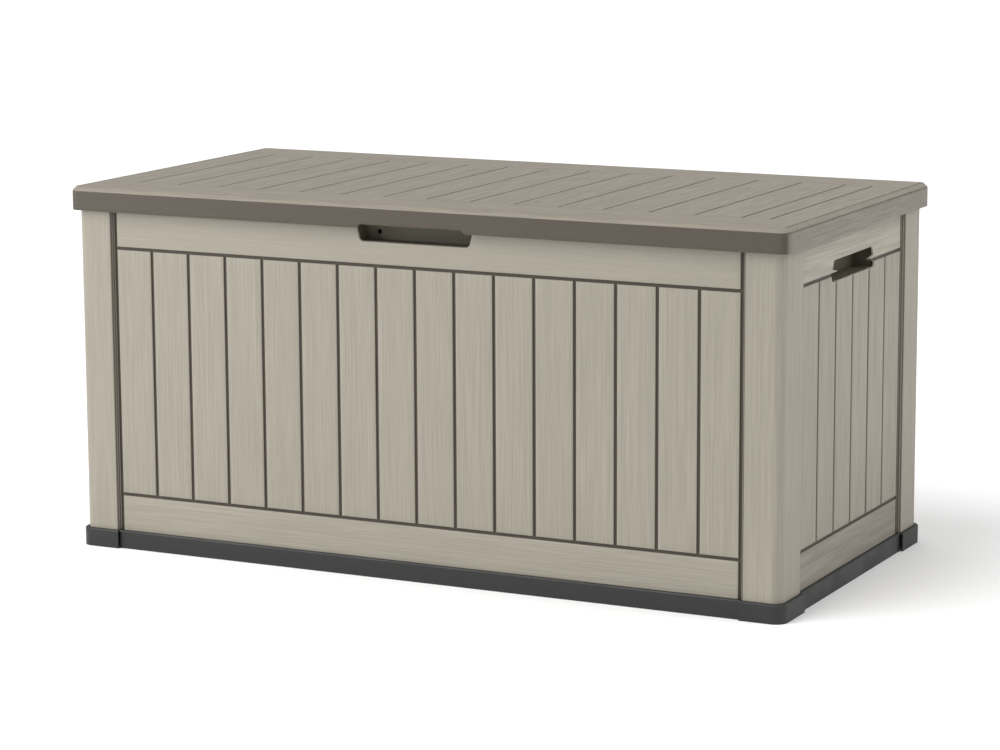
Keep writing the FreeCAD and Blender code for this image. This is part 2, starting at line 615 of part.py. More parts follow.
def lid_shell():
    half_x = LID_LENGTH / 2
    half_y = LID_DEPTH / 2
    outer = beveled_block(half_x, half_y, SKIRT_Z, BOX_HEIGHT, LID_RADIUS, LID_BEVEL)
    inner_bevel = LID_BEVEL - (2 - math.sqrt(2)) * WALL
    inner = beveled_block(half_x - WALL, half_y - WALL, SKIRT_Z - 1, PLATE_Z, LID_RADIUS - WALL, inner_bevel)
    pieces = [outer.cut(inner)]
    for x in hinge_places():
        pieces.append(lid_knuckle(x))
    seat_z = RIM_Z + LID_REST_GAP
    seat_x = PANEL_X + SEAT_INSET
    seat_y = PANEL_Y + SEAT_INSET
    for side in (-1, 1):
        y = sorted((side * seat_y, side * (seat_y - WALL)))
        pieces.append(box(-seat_x, seat_x, y[0], y[1], seat_z, PLATE_Z + 0.5))
        x = sorted((side * seat_x, side * (seat_x - WALL)))
        pieces.append(box(x[0], x[1], -seat_y, seat_y, seat_z, PLATE_Z + 0.5))
    rib_reach = LINER_Y - LINER_WALL - PLAY
    for x in spread(BEAD_COUNT, HINGE_SPACING):
        pieces.append(box(x - 1, x + 1, -rib_reach, rib_reach, LINER_Z + LINER_WALL + PLAY, PLATE_Z + 0.5))
    for x, y in lid_boss_places():
        pieces.append(rod(BOSS_RADIUS, (x, y, LINER_Z + LINER_WALL + PLAY), (x, y, PLATE_Z + 0.5)))
    shell = join(pieces)
    notch = prism([(-NOTCH_HALF - NOTCH_SLOPE, -half_y - 1, SKIRT_Z - 1),
                   (NOTCH_HALF + NOTCH_SLOPE, -half_y - 1, SKIRT_Z - 1),
                   (NOTCH_HALF, -half_y - 1, SKIRT_Z + NOTCH_RISE),
                   (-NOTCH_HALF, -half_y - 1, SKIRT_Z + NOTCH_RISE)], (0, WALL + 2, 0))
    tools = lid_groove_tools() + [notch]
    for x, y in lid_boss_places():
        tools.append(screw_hole((x, y, LINER_Z), (0, 0, 1), LID_SCREW_LENGTH))
    for x in hinge_places():
        reach = KNUCKLE_LENGTH / 2 + 1
        tools.append(rod(PIN_RADIUS + FIT, (x - reach, HINGE_Y, HINGE_Z), (x + reach, HINGE_Y, HINGE_Z)))
    return cut(shell, tools)


def lid_bracket_screw_places():
    """On the right side, under the liner."""
    z = LINER_Z - BRACKET_WALL
    return [(LINER_X - offset, STUD_Y, z) for offset in (28, 10)]


def lock_screw_places():
    y = -PANEL_Y + GRIP_DEPTH + WALL + LOCK_GAP + WALL + LOCK_FOOT / 2
    z = LINER_Z - WALL
    return [(LOCK_X + side * LOCK_TAB_WIDTH * 0.28, y, z) for side in (-1, 1)]


def lid_liner():
    tray = rounded_block(LINER_X, LINER_Y, LINER_Z, PLATE_Z - PLAY, LID_RADIUS)
    hollow = rounded_block(LINER_X - LINER_WALL, LINER_Y - LINER_WALL, LINER_Z + LINER_WALL, PLATE_Z + 1,
                           LID_RADIUS - LINER_WALL)
    pieces = [tray.cut(hollow)]
    bead_reach = LINER_Y - BEAD_MARGIN
    for x in spread(BEAD_COUNT, HINGE_SPACING):
        bead = box(x - BEAD_WIDTH / 2, x + BEAD_WIDTH / 2, -bead_reach, bead_reach,
                   LINER_Z - BEAD_HEIGHT, LINER_Z + 1)
        bead = round_edges(bead, BEAD_WIDTH / 2 - 0.5, is_upright)
        pieces.append(bead)
    liner = join(pieces)
    tools = [screw_hole((x, y, LINER_Z), (0, 0, 1), LID_SCREW_LENGTH) for x, y in lid_boss_places()]
    for x, y, z in lid_bracket_screw_places():
        tools += [screw_hole((side * x, y, z), (0, 0, 1), SMALL_SCREW_LENGTH) for side in (-1, 1)]
    tools += [screw_hole(place, (0, 0, 1), SMALL_SCREW_LENGTH) for place in lock_screw_places()]
    return cut(liner, tools)


def lid_lock_tab():
    x0 = LOCK_X - LOCK_TAB_WIDTH / 2
    x1 = LOCK_X + LOCK_TAB_WIDTH / 2
    y0 = -PANEL_Y + GRIP_DEPTH + WALL + LOCK_GAP
    plate = box(x0, x1, y0, y0 + WALL, LOCK_Z - LOCK_TAB_BELOW, LINER_Z)
    plate = round_edges(plate, LOCK_TAB_BELOW * 0.8,
                        lambda edge: edge.BoundBox.YLength > 1 and edge.BoundBox.XLength < 0.01
                        and edge.BoundBox.ZMax < LOCK_Z)
    foot = box(x0, x1, y0, y0 + WALL + LOCK_FOOT, LINER_Z - WALL, LINER_Z)
    gusset_y = y0 + WALL
    gusset = prism([(LOCK_X - 1.5, gusset_y, LINER_Z - WALL), (LOCK_X - 1.5, gusset_y, LINER_Z - WALL - 12),
                    (LOCK_X - 1.5, gusset_y + 8, LINER_Z - WALL)], (3, 0, 0))
    tools = [rod(LOCK_HOLE_RADIUS, (LOCK_X, y0 - 1, LOCK_Z), (LOCK_X, y0 + WALL + 1, LOCK_Z))]
    tools += [screw_hole(place, (0, 0, 1), SMALL_SCREW_LENGTH) for place in lock_screw_places()]
    return cut(join([plate, foot, gusset]), tools)


# ---- hinge pins ----
def hinge_pin(x):
    reach = KNUCKLE_LENGTH / 2 + PLAY + LUG_WIDTH
    pin = rod(PIN_RADIUS, (x - reach, HINGE_Y, HINGE_Z), (x + reach + PIN_HEAD, HINGE_Y, HINGE_Z))
    head = rod(PIN_HEAD_RADIUS, (x - reach - PIN_HEAD, HINGE_Y, HINGE_Z), (x - reach, HINGE_Y, HINGE_Z))
    return pin.fuse(head)


def hinge_pin_cap(x):
    """A push-on cap over the plain end of a hinge pin."""
    start = x + KNUCKLE_LENGTH / 2 + PLAY + LUG_WIDTH
    cap = rod(PIN_HEAD_RADIUS, (start, HINGE_Y, HINGE_Z), (start + 2 * PIN_HEAD, HINGE_Y, HINGE_Z))
    bore = rod(PIN_RADIUS + FIT / 2, (start - 1, HINGE_Y, HINGE_Z), (start + PIN_HEAD, HINGE_Y, HINGE_Z))
    return cap.cut(bore)


# ---- gas struts, right side; the left one is the mirror image ----
def along_strut(distance):
    """A point on the closed strut's centre line, measured from its foot."""
    run_y = STUD_Y - STRUT_FOOT_Y
    run_z = STUD_Z - STRUT_FOOT_Z
    length = math.hypot(run_y, run_z)
    return (STRUT_X, STRUT_FOOT_Y + run_y * distance / length, STRUT_FOOT_Z + run_z * distance / length)


def strut_length():
    return math.hypot(STUD_Y - STRUT_FOOT_Y, STUD_Z - STRUT_FOOT_Z)


def eye(y, z):
    return rod(EYE_RADIUS, (STRUT_X - EYE_WIDTH / 2, y, z), (STRUT_X + EYE_WIDTH / 2, y, z))


def strut_foot_bracket():
    inside = PANEL_X - WALL
    half = BRACKET_WIDTH / 2
    plate = box(inside - BRACKET_WALL, inside, STRUT_FOOT_Y - half, STRUT_FOOT_Y + half,
                STRUT_FOOT_Z - half * 1.7, STRUT_FOOT_Z + half * 1.7)
    plate = round_edges(plate, half * 0.5,
                        lambda edge: edge.BoundBox.XLength > 1 and edge.BoundBox.YLength < 0.01)
    inner_end = STRUT_X - EYE_WIDTH / 2 - PLAY - STUD_CLIP
    stud = rod(STUD_RADIUS, (inner_end, STRUT_FOOT_Y, STRUT_FOOT_Z), (inside - 1, STRUT_FOOT_Y, STRUT_FOOT_Z))
    collar = rod(EYE_RADIUS, (STRUT_X + EYE_WIDTH / 2 + PLAY, STRUT_FOOT_Y, STRUT_FOOT_Z),
                 (inside - 1, STRUT_FOOT_Y, STRUT_FOOT_Z))
    clip = rod(STUD_RADIUS + 2, (inner_end, STRUT_FOOT_Y, STRUT_FOOT_Z),
               (inner_end + STUD_CLIP, STRUT_FOOT_Y, STRUT_FOOT_Z))
    holes = [screw_hole(place, (1, 0, 0), BRACKET_SCREW_LENGTH) for place in foot_bracket_screw_places()]
    return cut(join([plate, stud, collar, clip]), holes)


def strut_cylinder():
    tube = rod(TUBE_RADIUS, along_strut(TUBE_START), along_strut(TUBE_START + TUBE_LENGTH))
    neck = rod(EYE_WIDTH / 2 - PLAY, along_strut(STUD_RADIUS + 1), along_strut(TUBE_START + 1))
    body = join([tube, neck, eye(STRUT_FOOT_Y, STRUT_FOOT_Z)])
    bore = rod(TUBE_BORE, along_strut(TUBE_START + TUBE_END_WALL),
               along_strut(TUBE_START + TUBE_LENGTH - TUBE_END_WALL))
    guide = rod(ROD_RADIUS + FIT, along_strut(TUBE_START + TUBE_LENGTH - TUBE_END_WALL - 1),
                along_strut(TUBE_START + TUBE_LENGTH + 1))
    pivot = rod(STUD_RADIUS + FIT, (STRUT_X - EYE_WIDTH, STRUT_FOOT_Y, STRUT_FOOT_Z),
                (STRUT_X + EYE_WIDTH, STRUT_FOOT_Y, STRUT_FOOT_Z))
    return cut(body, [bore, guide, pivot])


def strut_rod():
    shaft = rod(ROD_RADIUS, along_strut(PISTON_START), along_strut(strut_length() - EYE_RADIUS + 1))
    piston = rod(TUBE_BORE - 2 * FIT, along_strut(PISTON_START), along_strut(PISTON_START + PISTON_LENGTH))
    return join([shaft, piston, eye(STUD_Y, STUD_Z)])


def strut_lid_bracket():
    half = BRACKET_WIDTH / 2
    stud_end = STRUT_X - EYE_WIDTH / 2 - PLAY
    hanger_x1 = STRUT_X - EYE_WIDTH - PLAY
    hanger_x0 = hanger_x1 - BRACKET_WALL
    plate = box(LINER_X - 40, hanger_x1, STUD_Y - half, STUD_Y + half, LINER_Z - BRACKET_WALL, LINER_Z)
    hanger = box(hanger_x0, hanger_x1, STUD_Y - half, STUD_Y + half, STUD_Z - EYE_RADIUS, LINER_Z)
    hanger = round_edges(hanger, EYE_RADIUS * 0.9,
                         lambda edge: edge.BoundBox.XLength > 1 and edge.BoundBox.YLength < 0.01
                         and edge.BoundBox.ZMax < STUD_Z)
    stud = rod(STUD_RADIUS, (hanger_x0, STUD_Y, STUD_Z), (stud_end, STUD_Y, STUD_Z))
    holes = [screw_hole(place, (0, 0, 1), SMALL_SCREW_LENGTH) for place in lid_bracket_screw_places()]
    return cut(join([plate, hanger, stud]), holes)


# ---- write every piece ----
save("base_tray", base_tray())
save("front_panel", front_panel())
save("rear_panel", rear_panel())
RIGHT_PANEL = right_panel()
save("right_panel", RIGHT_PANEL)
save("left_panel", mirrored(RIGHT_PANEL, X_AXIS))

REAR_RIGHT_POST = rear_right_post()
REAR_LEFT_POST = mirrored(REAR_RIGHT_POST, X_AXIS)
save("rear_right_post", REAR_RIGHT_POST)
save("rear_left_post", REAR_LEFT_POST)
save("front_right_post", mirrored(REAR_RIGHT_POST, Y_AXIS))
save("front_left_post", mirrored(REAR_LEFT_POST, Y_AXIS))

save("front_grip_cup", front_grip_cup())
RIGHT_CUP = turned(side_grip_cup(), 90)
save("right_grip_cup", RIGHT_CUP)
save("left_grip_cup", mirrored(RIGHT_CUP, X_AXIS))

POST_SCREWS = []
for angle, screw_foot, screw_face in ((0, FOOT_X, PANEL_Y), (180, FOOT_X, PANEL_Y),
                                      (90, FOOT_Y, PANEL_X), (270, FOOT_Y, PANEL_X)):
    for spot in lip_screw_places(screw_foot, screw_face):
        POST_SCREWS.append(turned(screw(spot, (0, -1, 0), POST_SCREW_LENGTH), angle))
save_group("post_screws", POST_SCREWS)

BASE_SCREWS = []
for angle, screw_foot, screw_face, screw_count in base_screw_rows():
    for spot in base_screw_places(screw_foot, screw_face, screw_count):
        BASE_SCREWS.append(turned(screw(spot, (0, -1, 0), BASE_SCREW_LENGTH), angle))
save_group("base_screws", BASE_SCREWS)

for pin_name, pin_x in zip(("left", "middle", "right"), hinge_places()):
    save("hinge_pin_%s" % pin_name, hinge_pin(pin_x))
save_group("hinge_pin_caps", [hinge_pin_cap(x) for x in hinge_places()])

save("lid_shell", lid_shell())
save("lid_liner", lid_liner())
save_group("lid_liner_screws", [screw((x, y, LINER_Z), (0, 0, 1), LID_SCREW_LENGTH)
                                for x, y in lid_boss_places()])
save("lid_lock_tab", lid_lock_tab())
save_group("lock_tab_screws", [screw(spot, (0, 0, 1), SMALL_SCREW_LENGTH) for spot in lock_screw_places()])

RIGHT_STRUT = {
    "strut_foot_bracket": strut_foot_bracket(),
    "strut_cylinder": strut_cylinder(),
    "strut_rod": strut_rod(),
    "strut_lid_bracket": strut_lid_bracket(),
}
for piece_name, piece in RIGHT_STRUT.items():
    save(piece_name + "_right", piece)
    save(piece_name + "_left", mirrored(piece, X_AXIS))

FOOT_SCREWS = [screw(spot, (1, 0, 0), BRACKET_SCREW_LENGTH) for spot in foot_bracket_screw_places()]
save_group("foot_bracket_screws", FOOT_SCREWS + [mirrored(item, X_AXIS) for item in FOOT_SCREWS])
LID_SCREWS = [screw(spot, (0, 0, 1), SMALL_SCREW_LENGTH) for spot in lid_bracket_screw_places()]
save_group("lid_bracket_screws", LID_SCREWS + [mirrored(item, X_AXIS) for item in LID_SCREWS])

# joint values for the record, worked out from the same sizes
CLOSED = (STUD_Y - STRUT_FOOT_Y, STUD_Z - STRUT_FOOT_Z)
SWING = math.radians(LID_OPEN_DEG)
OPEN_Y = HINGE_Y - STRUT_STUD_FORWARD * math.cos(SWING) + STRUT_STUD_ABOVE * math.sin(SWING)
OPEN_Z = HINGE_Z + STRUT_STUD_FORWARD * math.sin(SWING) + STRUT_STUD_ABOVE * math.cos(SWING)
OPENED = (OPEN_Y - STRUT_FOOT_Y, OPEN_Z - STRUT_FOOT_Z)
TILT = math.atan2(CLOSED[1], CLOSED[0]) - math.atan2(OPENED[1], OPENED[0])
STROKE = math.hypot(*OPENED) - math.hypot(*CLOSED)
print("hinge axis y %.3f z %.3f" % (HINGE_Y, HINGE_Z))
print("strut foot y %.3f z %.3f  direction %s" % (STRUT_FOOT_Y, STRUT_FOOT_Z,
                                                 [round(v / math.hypot(*CLOSED), 6) for v in CLOSED]))
print("strut tilt %.4f deg, ratio %.6f; stroke %.3f mm, ratio %.6f m per rad"
      % (math.degrees(TILT), TILT / SWING, STROKE, STROKE / 1000 / SWING))
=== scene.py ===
"""Looks of a resin deck storage box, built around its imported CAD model.

Lengths are in millimetres inside the mesh code and in metres in Blender. The front is -Y.
"""

import math

import bmesh
import bpy
import numpy as np
from bpy.props import FloatProperty, FloatVectorProperty, PointerProperty
from mathutils import Matrix, Vector


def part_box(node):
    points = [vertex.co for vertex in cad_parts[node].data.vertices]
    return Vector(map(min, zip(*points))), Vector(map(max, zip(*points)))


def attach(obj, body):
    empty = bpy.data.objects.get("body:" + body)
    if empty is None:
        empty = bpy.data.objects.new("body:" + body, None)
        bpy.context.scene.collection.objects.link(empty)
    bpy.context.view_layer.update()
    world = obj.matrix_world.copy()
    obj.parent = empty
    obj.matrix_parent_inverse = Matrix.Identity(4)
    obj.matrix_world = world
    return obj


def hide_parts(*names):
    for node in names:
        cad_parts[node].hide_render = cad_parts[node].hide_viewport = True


bl_info = {
    "name": "Deck Storage Box Looks",
    "version": (1, 0, 0),
    "blender": (4, 5, 0),
    "location": "3D View > Sidebar > Deck Box",
    "description": "Moulded panels, posts, lid and finishes for a deck storage box",
    "category": "Object",
}

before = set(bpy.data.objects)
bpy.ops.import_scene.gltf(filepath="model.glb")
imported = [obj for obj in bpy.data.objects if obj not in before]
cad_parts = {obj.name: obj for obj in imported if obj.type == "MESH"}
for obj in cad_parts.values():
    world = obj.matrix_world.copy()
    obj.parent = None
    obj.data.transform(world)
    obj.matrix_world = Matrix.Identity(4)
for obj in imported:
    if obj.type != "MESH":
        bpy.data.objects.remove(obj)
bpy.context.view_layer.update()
MM = 0.001


def node_box(name):
    """Lowest and highest corner of a CAD node, in millimetres."""
    low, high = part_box(name)
    return np.array(low) / MM, np.array(high) / MM


# ---- places read from the CAD nodes ----
POST_HIGH = node_box("rear_right_post")[1]
PANEL_LOW, PANEL_HIGH = node_box("front_panel")
SIDE_HIGH = node_box("right_panel")[1]
LID_HIGH = node_box("lid_shell")[1]
PIN_LOW, PIN_HIGH = node_box("hinge_pin_middle")

POST_X, POST_Y = POST_HIGH[0], POST_HIGH[1]
PANEL_Y = -PANEL_LOW[1]
PANEL_X = SIDE_HIGH[0]
FRAME_Z0, RIM_Z = PANEL_LOW[2], POST_HIGH[2]
LONG_HALF, SIDE_HALF = PANEL_HIGH[0], SIDE_HIGH[1]
LID_X, LID_Y, LID_TOP = LID_HIGH
HINGE_Y = (PIN_LOW[1] + PIN_HIGH[1]) / 2
HINGE_Z = (PIN_LOW[2] + PIN_HIGH[2]) / 2

# ---- sizes that match the CAD source, except that the posts' front faces are 2 mm wider ----
WALL = 3.0
PLAY = 0.3
TONGUE = 27.0
FOOT_LONG = LONG_HALF - TONGUE
FOOT_SIDE = SIDE_HALF - TONGUE
LONG_PLANKS, SIDE_PLANKS = 16, 6
GROOVE_INSET = 3.1
RAIL_LOW_Z, RAIL_HIGH_Z = 103.0, LID_TOP - 112.5
SCREW_RIB_LOW_Z, SCREW_RIB_HIGH_Z = 41.0, 53.0
FLANGE_DEPTH = 12.0
POST_FRONT, POST_SIDE = 71.0, 89.0
POST_CORNER = 18.0
SKIRT_Z = LID_TOP - 44.0
LID_CORNER, LID_BEVEL = 17.0, 8.5
LID_BOARD_Y = LID_Y - 104.0
LID_PLANK = 86.6
LID_FIRST_LINE, LID_LAST_LINE = 87.0 - LID_X, LID_X - 75.0
LID_LINES = [LID_FIRST_LINE + LID_PLANK * i for i in range(15)] + [LID_LAST_LINE]
NOTCH_FLAT, NOTCH_END, NOTCH_RISE = 99.0, 110.0, 7.0
HINGES = (-480.0, 0.0, 480.0)
HINGE_RADIUS, KNUCKLE_HALF = 7.0, 21.7
LUG_WIDTH, LUG_STARTS = 10.0, (-32.0, 22.0)

# ---- sizes of the meshes alone ----
POST_SOFT = 3.6
LID_INSET = 3.6
LUG_BORE, KNUCKLE_BORE = 3.04, 3.1


# ---- settings that a user would change ----
def srgb(red, green, blue):
    """A colour given as 0-255 display values, as linear values."""
    def linear(value):
        value /= 255.0
        return value / 12.92 if value <= 0.04045 else ((value + 0.055) / 1.055) ** 2.4
    return (linear(red), linear(green), linear(blue))


def colour(name, description, value):
    return FloatVectorProperty(name=name, description=description, subtype="COLOR", size=3,
                               min=0.0, max=1.0, default=srgb(*value))


def millimetres(name, description, value):
    return FloatProperty(name=name, description=description, default=value, min=0.0)


class DeckBoxColours(bpy.types.PropertyGroup):
    body: colour("Body resin", "Warm grey of the panels and posts", (149, 143, 131))
    # Painted shade: this colour darkens the plank grooves, the posts' flanks and the lid's lines.
    groove: colour("Groove shade", "Shade that settles in the plank grooves", (70, 63, 53))
    lid: colour("Lid resin", "Taupe of the lid", (133, 126, 114))
    # Partly the skirt's own taupe, partly painted shade on the lid's upright faces.
    lid_skirt: colour("Lid skirt", "Darker taupe of the lid's long edges", (77, 70, 61))
    base: colour("Base resin", "Dark grey of the base tray", (31, 31, 31))
    # Darker than the body: partly the inserts' own olive, partly painted shade inside the hand hold pockets.
    grip: colour("Grip cups", "Dark olive of the hand grip inserts", (93, 88, 73))
    strut: colour("Strut paint", "Black paint of the gas strut cylinders", (26, 26, 27))
    steel: colour("Steel", "Zinc plated screws and pins", (178, 180, 182))
    floor: colour("Floor", "Pale studio floor", (250, 250, 250))


class DeckBoxSizes(bpy.types.PropertyGroup):
    groove_depth: millimetres("Groove depth", "Depth of the plank grooves in millimetres", 3.0)
    groove_half: millimetres("Groove half width", "Half the width of a plank groove in millimetres", 3.3)
    lid_groove_depth: millimetres("Lid groove depth", "Depth of the grooves in the lid in millimetres", 1.4)
    relief: millimetres("Grain relief", "Height of the moulded grain in millimetres", 0.12)
    edge_round: millimetres("Edge rounding", "Rounding of the moulded edges in millimetres", 2.0)


# ---- mesh helpers ----
def ramp(low, high, value):
    """0 below low, 1 above high, smooth between."""
    share = np.clip((np.asarray(value, float) - low) / (high - low), 0.0, 1.0)
    return share * share * (3.0 - 2.0 * share)


def value_noise(a, b, cell_a, cell_b, seed):
    """Smooth noise from -1 to 1 over points (a, b) in millimetres."""
    table = np.random.default_rng(seed).uniform(-1.0, 1.0, (64, 64))
    u, v = a / cell_a, b / cell_b
    column, row = np.floor(u).astype(int), np.floor(v).astype(int)
    s, t = ramp(0, 1, u - column), ramp(0, 1, v - row)

    def corner(i, j):
        return table[(column + i) % 64, (row + j) % 64]

    near = corner(0, 0) * (1 - s) + corner(1, 0) * s
    far = corner(0, 1) * (1 - s) + corner(1, 1) * s
    return near * (1 - t) + far * t


def stations(low, high, spacing, marks):
    """Places from low to high, about spacing apart, with extra ones at the marks and none crowding them."""
    marks = sorted(m for m in set(marks) if low < m < high)
    fixed = [low] + marks + [high]
    places = []
    for start, end in zip(fixed, fixed[1:]):
        if end - start < 0.05:
            continue
        steps = max(1, int(round((end - start) / spacing)))
        places += [start + (end - start) * i / steps for i in range(steps)]
    return np.array(places + [high])


def around(centres, offsets):
    return [centre + side * offset for centre in centres for offset in offsets for side in (-1, 1)]


def rounded_path(points, radii, steps=4, closed=False):
    """A plan path whose corners are arcs; a radius of 0 keeps the corner sharp."""
    points = [np.array(p, float) for p in points]
    result = []
    count = len(points)
    for index, (corner, radius) in enumerate(zip(points, radii)):
        at_end = not closed and index in (0, count - 1)
        if radius <= 0 or at_end:
            result.append(corner)
            continue
        back = points[index - 1] - corner
        ahead = points[(index + 1) % count] - corner
        back, ahead = back / np.linalg.norm(back), ahead / np.linalg.norm(ahead)
        half = math.acos(np.clip(back @ ahead, -1.0, 1.0)) / 2
        middle = (back + ahead) / np.linalg.norm(back + ahead)
        centre = corner + middle * radius / math.sin(half)
        start = corner + back * radius / math.tan(half) - centre
        end = corner + ahead * radius / math.tan(half) - centre
        for i in range(steps + 1):
            ray = start * (1 - i / steps) + end * (i / steps)
            result.append(centre + ray / np.linalg.norm(ray) * radius)
    return np.array(result)


def offset_path(path, distance, closed=False):
    """The path moved to its left by distance, with mitred corners."""
    nexts = np.roll(path, -1, axis=0) - path
    lasts = path - np.roll(path, 1, axis=0)
    if not closed:
        nexts[-1], lasts[0] = lasts[-1], nexts[0]
    nexts = nexts / np.linalg.norm(nexts, axis=1)[:, None]
    lasts = lasts / np.linalg.norm(lasts, axis=1)[:, None]
    left = np.stack([-(nexts + lasts)[:, 1], (nexts + lasts)[:, 0]], axis=1)
    left = left / np.linalg.norm(left, axis=1)[:, None]
    share = np.maximum(0.3, left[:, 0] * -lasts[:, 1] + left[:, 1] * lasts[:, 0])
    return path + left * (distance / share)[:, None]


def finer(path, spacing):
    """The same path with points added where they are further apart than spacing."""
    result = []
    for start, end in zip(path, path[1:]):
        steps = max(1, int(round(np.linalg.norm(end - start) / spacing)))
        result += [start + (end - start) * i / steps for i in range(steps)]
    return np.array(result + [path[-1]])


def grid_faces(index, flip=False):
    """Quads over a grid of vertex numbers."""
    a, b, c, d = index[:-1, :-1], index[:-1, 1:], index[1:, 1:], index[1:, :-1]
    return np.stack([corner.ravel() for corner in ((a, d, c, b) if flip else (a, b, c, d))], axis=1)


def ring_faces(levels, count, closed=False):
    """Quads between rings of count points each; closed also joins the last ring to the first."""
    faces = []
    for level in range(levels if closed else levels - 1):
        lower, upper = level * count, (level + 1) % levels * count
        for i in range(count):
            j = (i + 1) % count
            faces.append((lower + i, lower + j, upper + j, upper + i))
    return faces


class Form:
    """Vertices, faces and groove shade of a piece, gathered before the mesh is made."""

    def __init__(self):
        self.points, self.faces, self.shade, self.count = [], [], [], 0

    def add(self, points, faces, shade=None):
        points = np.asarray(points, float).reshape(-1, 3)
        self.points.append(points)
        self.faces += [tuple(int(i) + self.count for i in face) for face in faces]
        self.shade.append(np.zeros(len(points)) if shade is None else np.asarray(shade, float).ravel())
        self.count += len(points)

    def sheet(self, front, back, shade=None, flip=False):
        """A closed solid between two grids of points that match; front faces outwards."""
        rows, columns = front.shape[:2]
        a = np.arange(rows * columns).reshape(rows, columns)
        b = a + rows * columns
        rims = [(a[0, 1:], a[0, :-1], b[0, :-1], b[0, 1:]), (a[-1, :-1], a[-1, 1:], b[-1, 1:], b[-1, :-1]),
                (a[:-1, 0], a[1:, 0], b[1:, 0], b[:-1, 0]), (a[1:, -1], a[:-1, -1], b[:-1, -1], b[1:, -1])]
        faces = [grid_faces(a), grid_faces(b, flip=True)] + [np.stack(rim, axis=1) for rim in rims]
        faces = np.concatenate(faces)
        if flip:
            faces = faces[:, ::-1]
        shades = None if shade is None else np.concatenate([shade.ravel(), np.zeros(rows * columns)])
        self.add(np.concatenate([front.reshape(-1, 3), back.reshape(-1, 3)]), faces, shades)

    def plate(self, outline, low, high, edge=0.5):
        """A flat outline raised from low to high, with small bevels at both faces."""
        outline = np.array(outline, float)
        turn = np.roll(outline, -1, axis=0)
        if np.sum(outline[:, 0] * turn[:, 1] - turn[:, 0] * outline[:, 1]) < 0:
            outline = outline[::-1]
        inner = offset_path(outline, edge, closed=True)
        rings = [(inner, low), (outline, low + edge), (outline, high - edge), (inner, high)]
        count = len(outline)
        points = np.concatenate([np.column_stack([ring, np.full(count, height)]) for ring, height in rings])
        caps = [tuple(range(count))[::-1], tuple(range(3 * count, 4 * count))]
        self.add(points, caps + ring_faces(4, count))

    def block(self, low, high, edge=0.5):
        """A block with bevelled edges."""
        low, high = np.minimum(low, high), np.maximum(low, high)
        self.plate([(low[0], low[1]), (high[0], low[1]), (high[0], high[1]), (low[0], high[1])],
                   low[2], high[2], edge=edge)

    def pierced(self, outer, hole, x0, x1, edge=0.6):
        """A plate across X between an outline and a hole with as many points, both in (y, z)."""
        count = len(outer)
        centre = hole.mean(axis=0)
        shrunk = centre + (outer - centre) * (1 - edge / np.linalg.norm(outer - centre, axis=1))[:, None]
        rings = [(shrunk, x0), (outer, x0 + edge), (outer, x1 - edge), (shrunk, x1), (hole, x1), (hole, x0)]
        points = np.concatenate([np.column_stack([np.full(count, x), ring]) for ring, x in rings])
        self.add(points, ring_faces(6, count, closed=True))

    def mesh(self, name):
        mesh = bpy.data.meshes.new(name)
        mesh.from_pydata(np.concatenate(self.points) * MM, [], self.faces)
        layer = mesh.attributes.new("groove_shade", "FLOAT", "POINT")
        layer.data.foreach_set("value", np.concatenate(self.shade).astype(np.float32))
        mesh.validate()
        return mesh


def show(name, mesh):
    piece = bpy.data.objects.new(name, mesh)
    bpy.context.scene.collection.objects.link(piece)
    return piece


def carve(piece, cutter):
    """Cuts a closed cutter out of a piece and removes the cutter."""
    modifier = piece.modifiers.new("opening", "BOOLEAN")
    modifier.operation = "DIFFERENCE"
    modifier.object = cutter
    modifier.solver = "MANIFOLD"
    bpy.context.view_layer.update()
    carved = bpy.data.meshes.new_from_object(piece.evaluated_get(bpy.context.evaluated_depsgraph_get()))
    if len(carved.polygons) <= len(piece.data.polygons) // 2:
        raise RuntimeError("the opening in %s could not be cut" % piece.name)
    piece.modifiers.clear()
    old, piece.data = piece.data, carved
    carved.name = piece.name
    bpy.data.meshes.remove(old)
    bpy.data.objects.remove(cutter)


def settle(piece, body, slot, material, *nodes):
    """Gives a finished piece its material and its place on the CAD frame."""
    piece.data.materials.clear()
    piece.data.materials.append(material)
    piece.data.shade_smooth()
    piece.data.set_sharp_from_angle(angle=math.radians(48))
    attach(piece, body)
    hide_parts(*nodes)


def dress(name, material, bevel=0.5):
    """A CAD node keeps its shape and gets softened edges and a moulded or metal finish."""
    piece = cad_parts[name]
    piece.data.materials.clear()
    piece.data.materials.append(material)
    if "custom_normal" in piece.data.attributes:
        piece.data.attributes.remove(piece.data.attributes["custom_normal"])
    weld = piece.modifiers.new("weld", "WELD")
    weld.merge_threshold = 0.00001
    soft = piece.modifiers.new("soft edges", "BEVEL")
    soft.width = bevel * MM
    soft.segments = 2
    soft.limit_method = "ANGLE"
    soft.angle_limit = math.radians(40)
    soft.harden_normals = True
    piece.data.shade_smooth()


# ---- shader helpers ----
def put(tree, kind, settings=None, **values):
    """Adds a node; settings are its attributes and values are its inputs, as numbers or sockets."""
    made = tree.nodes.new(kind)
    made.location = (220 * (len(tree.nodes) % 8), -260 * (len(tree.nodes) // 8))
    for key, value in (settings or {}).items():
        setattr(made, key, value)
    for key, value in values.items():
        key = int(key[1:]) if key[0] == "_" else key.replace("_", " ")
        socket = made.inputs[key]
        if isinstance(value, bpy.types.NodeSocket):
            tree.links.new(value, socket)
        else:
            socket.default_value = value
    return made


def calc(tree, operation, *values):
    inputs = {"_%d" % i: value for i, value in enumerate(values)}
    return put(tree, "ShaderNodeMath", {"operation": operation}, **inputs).outputs[0]


def vector_calc(tree, operation, first, second):
    return put(tree, "ShaderNodeVectorMath", {"operation": operation}, _0=first, _1=second).outputs[0]


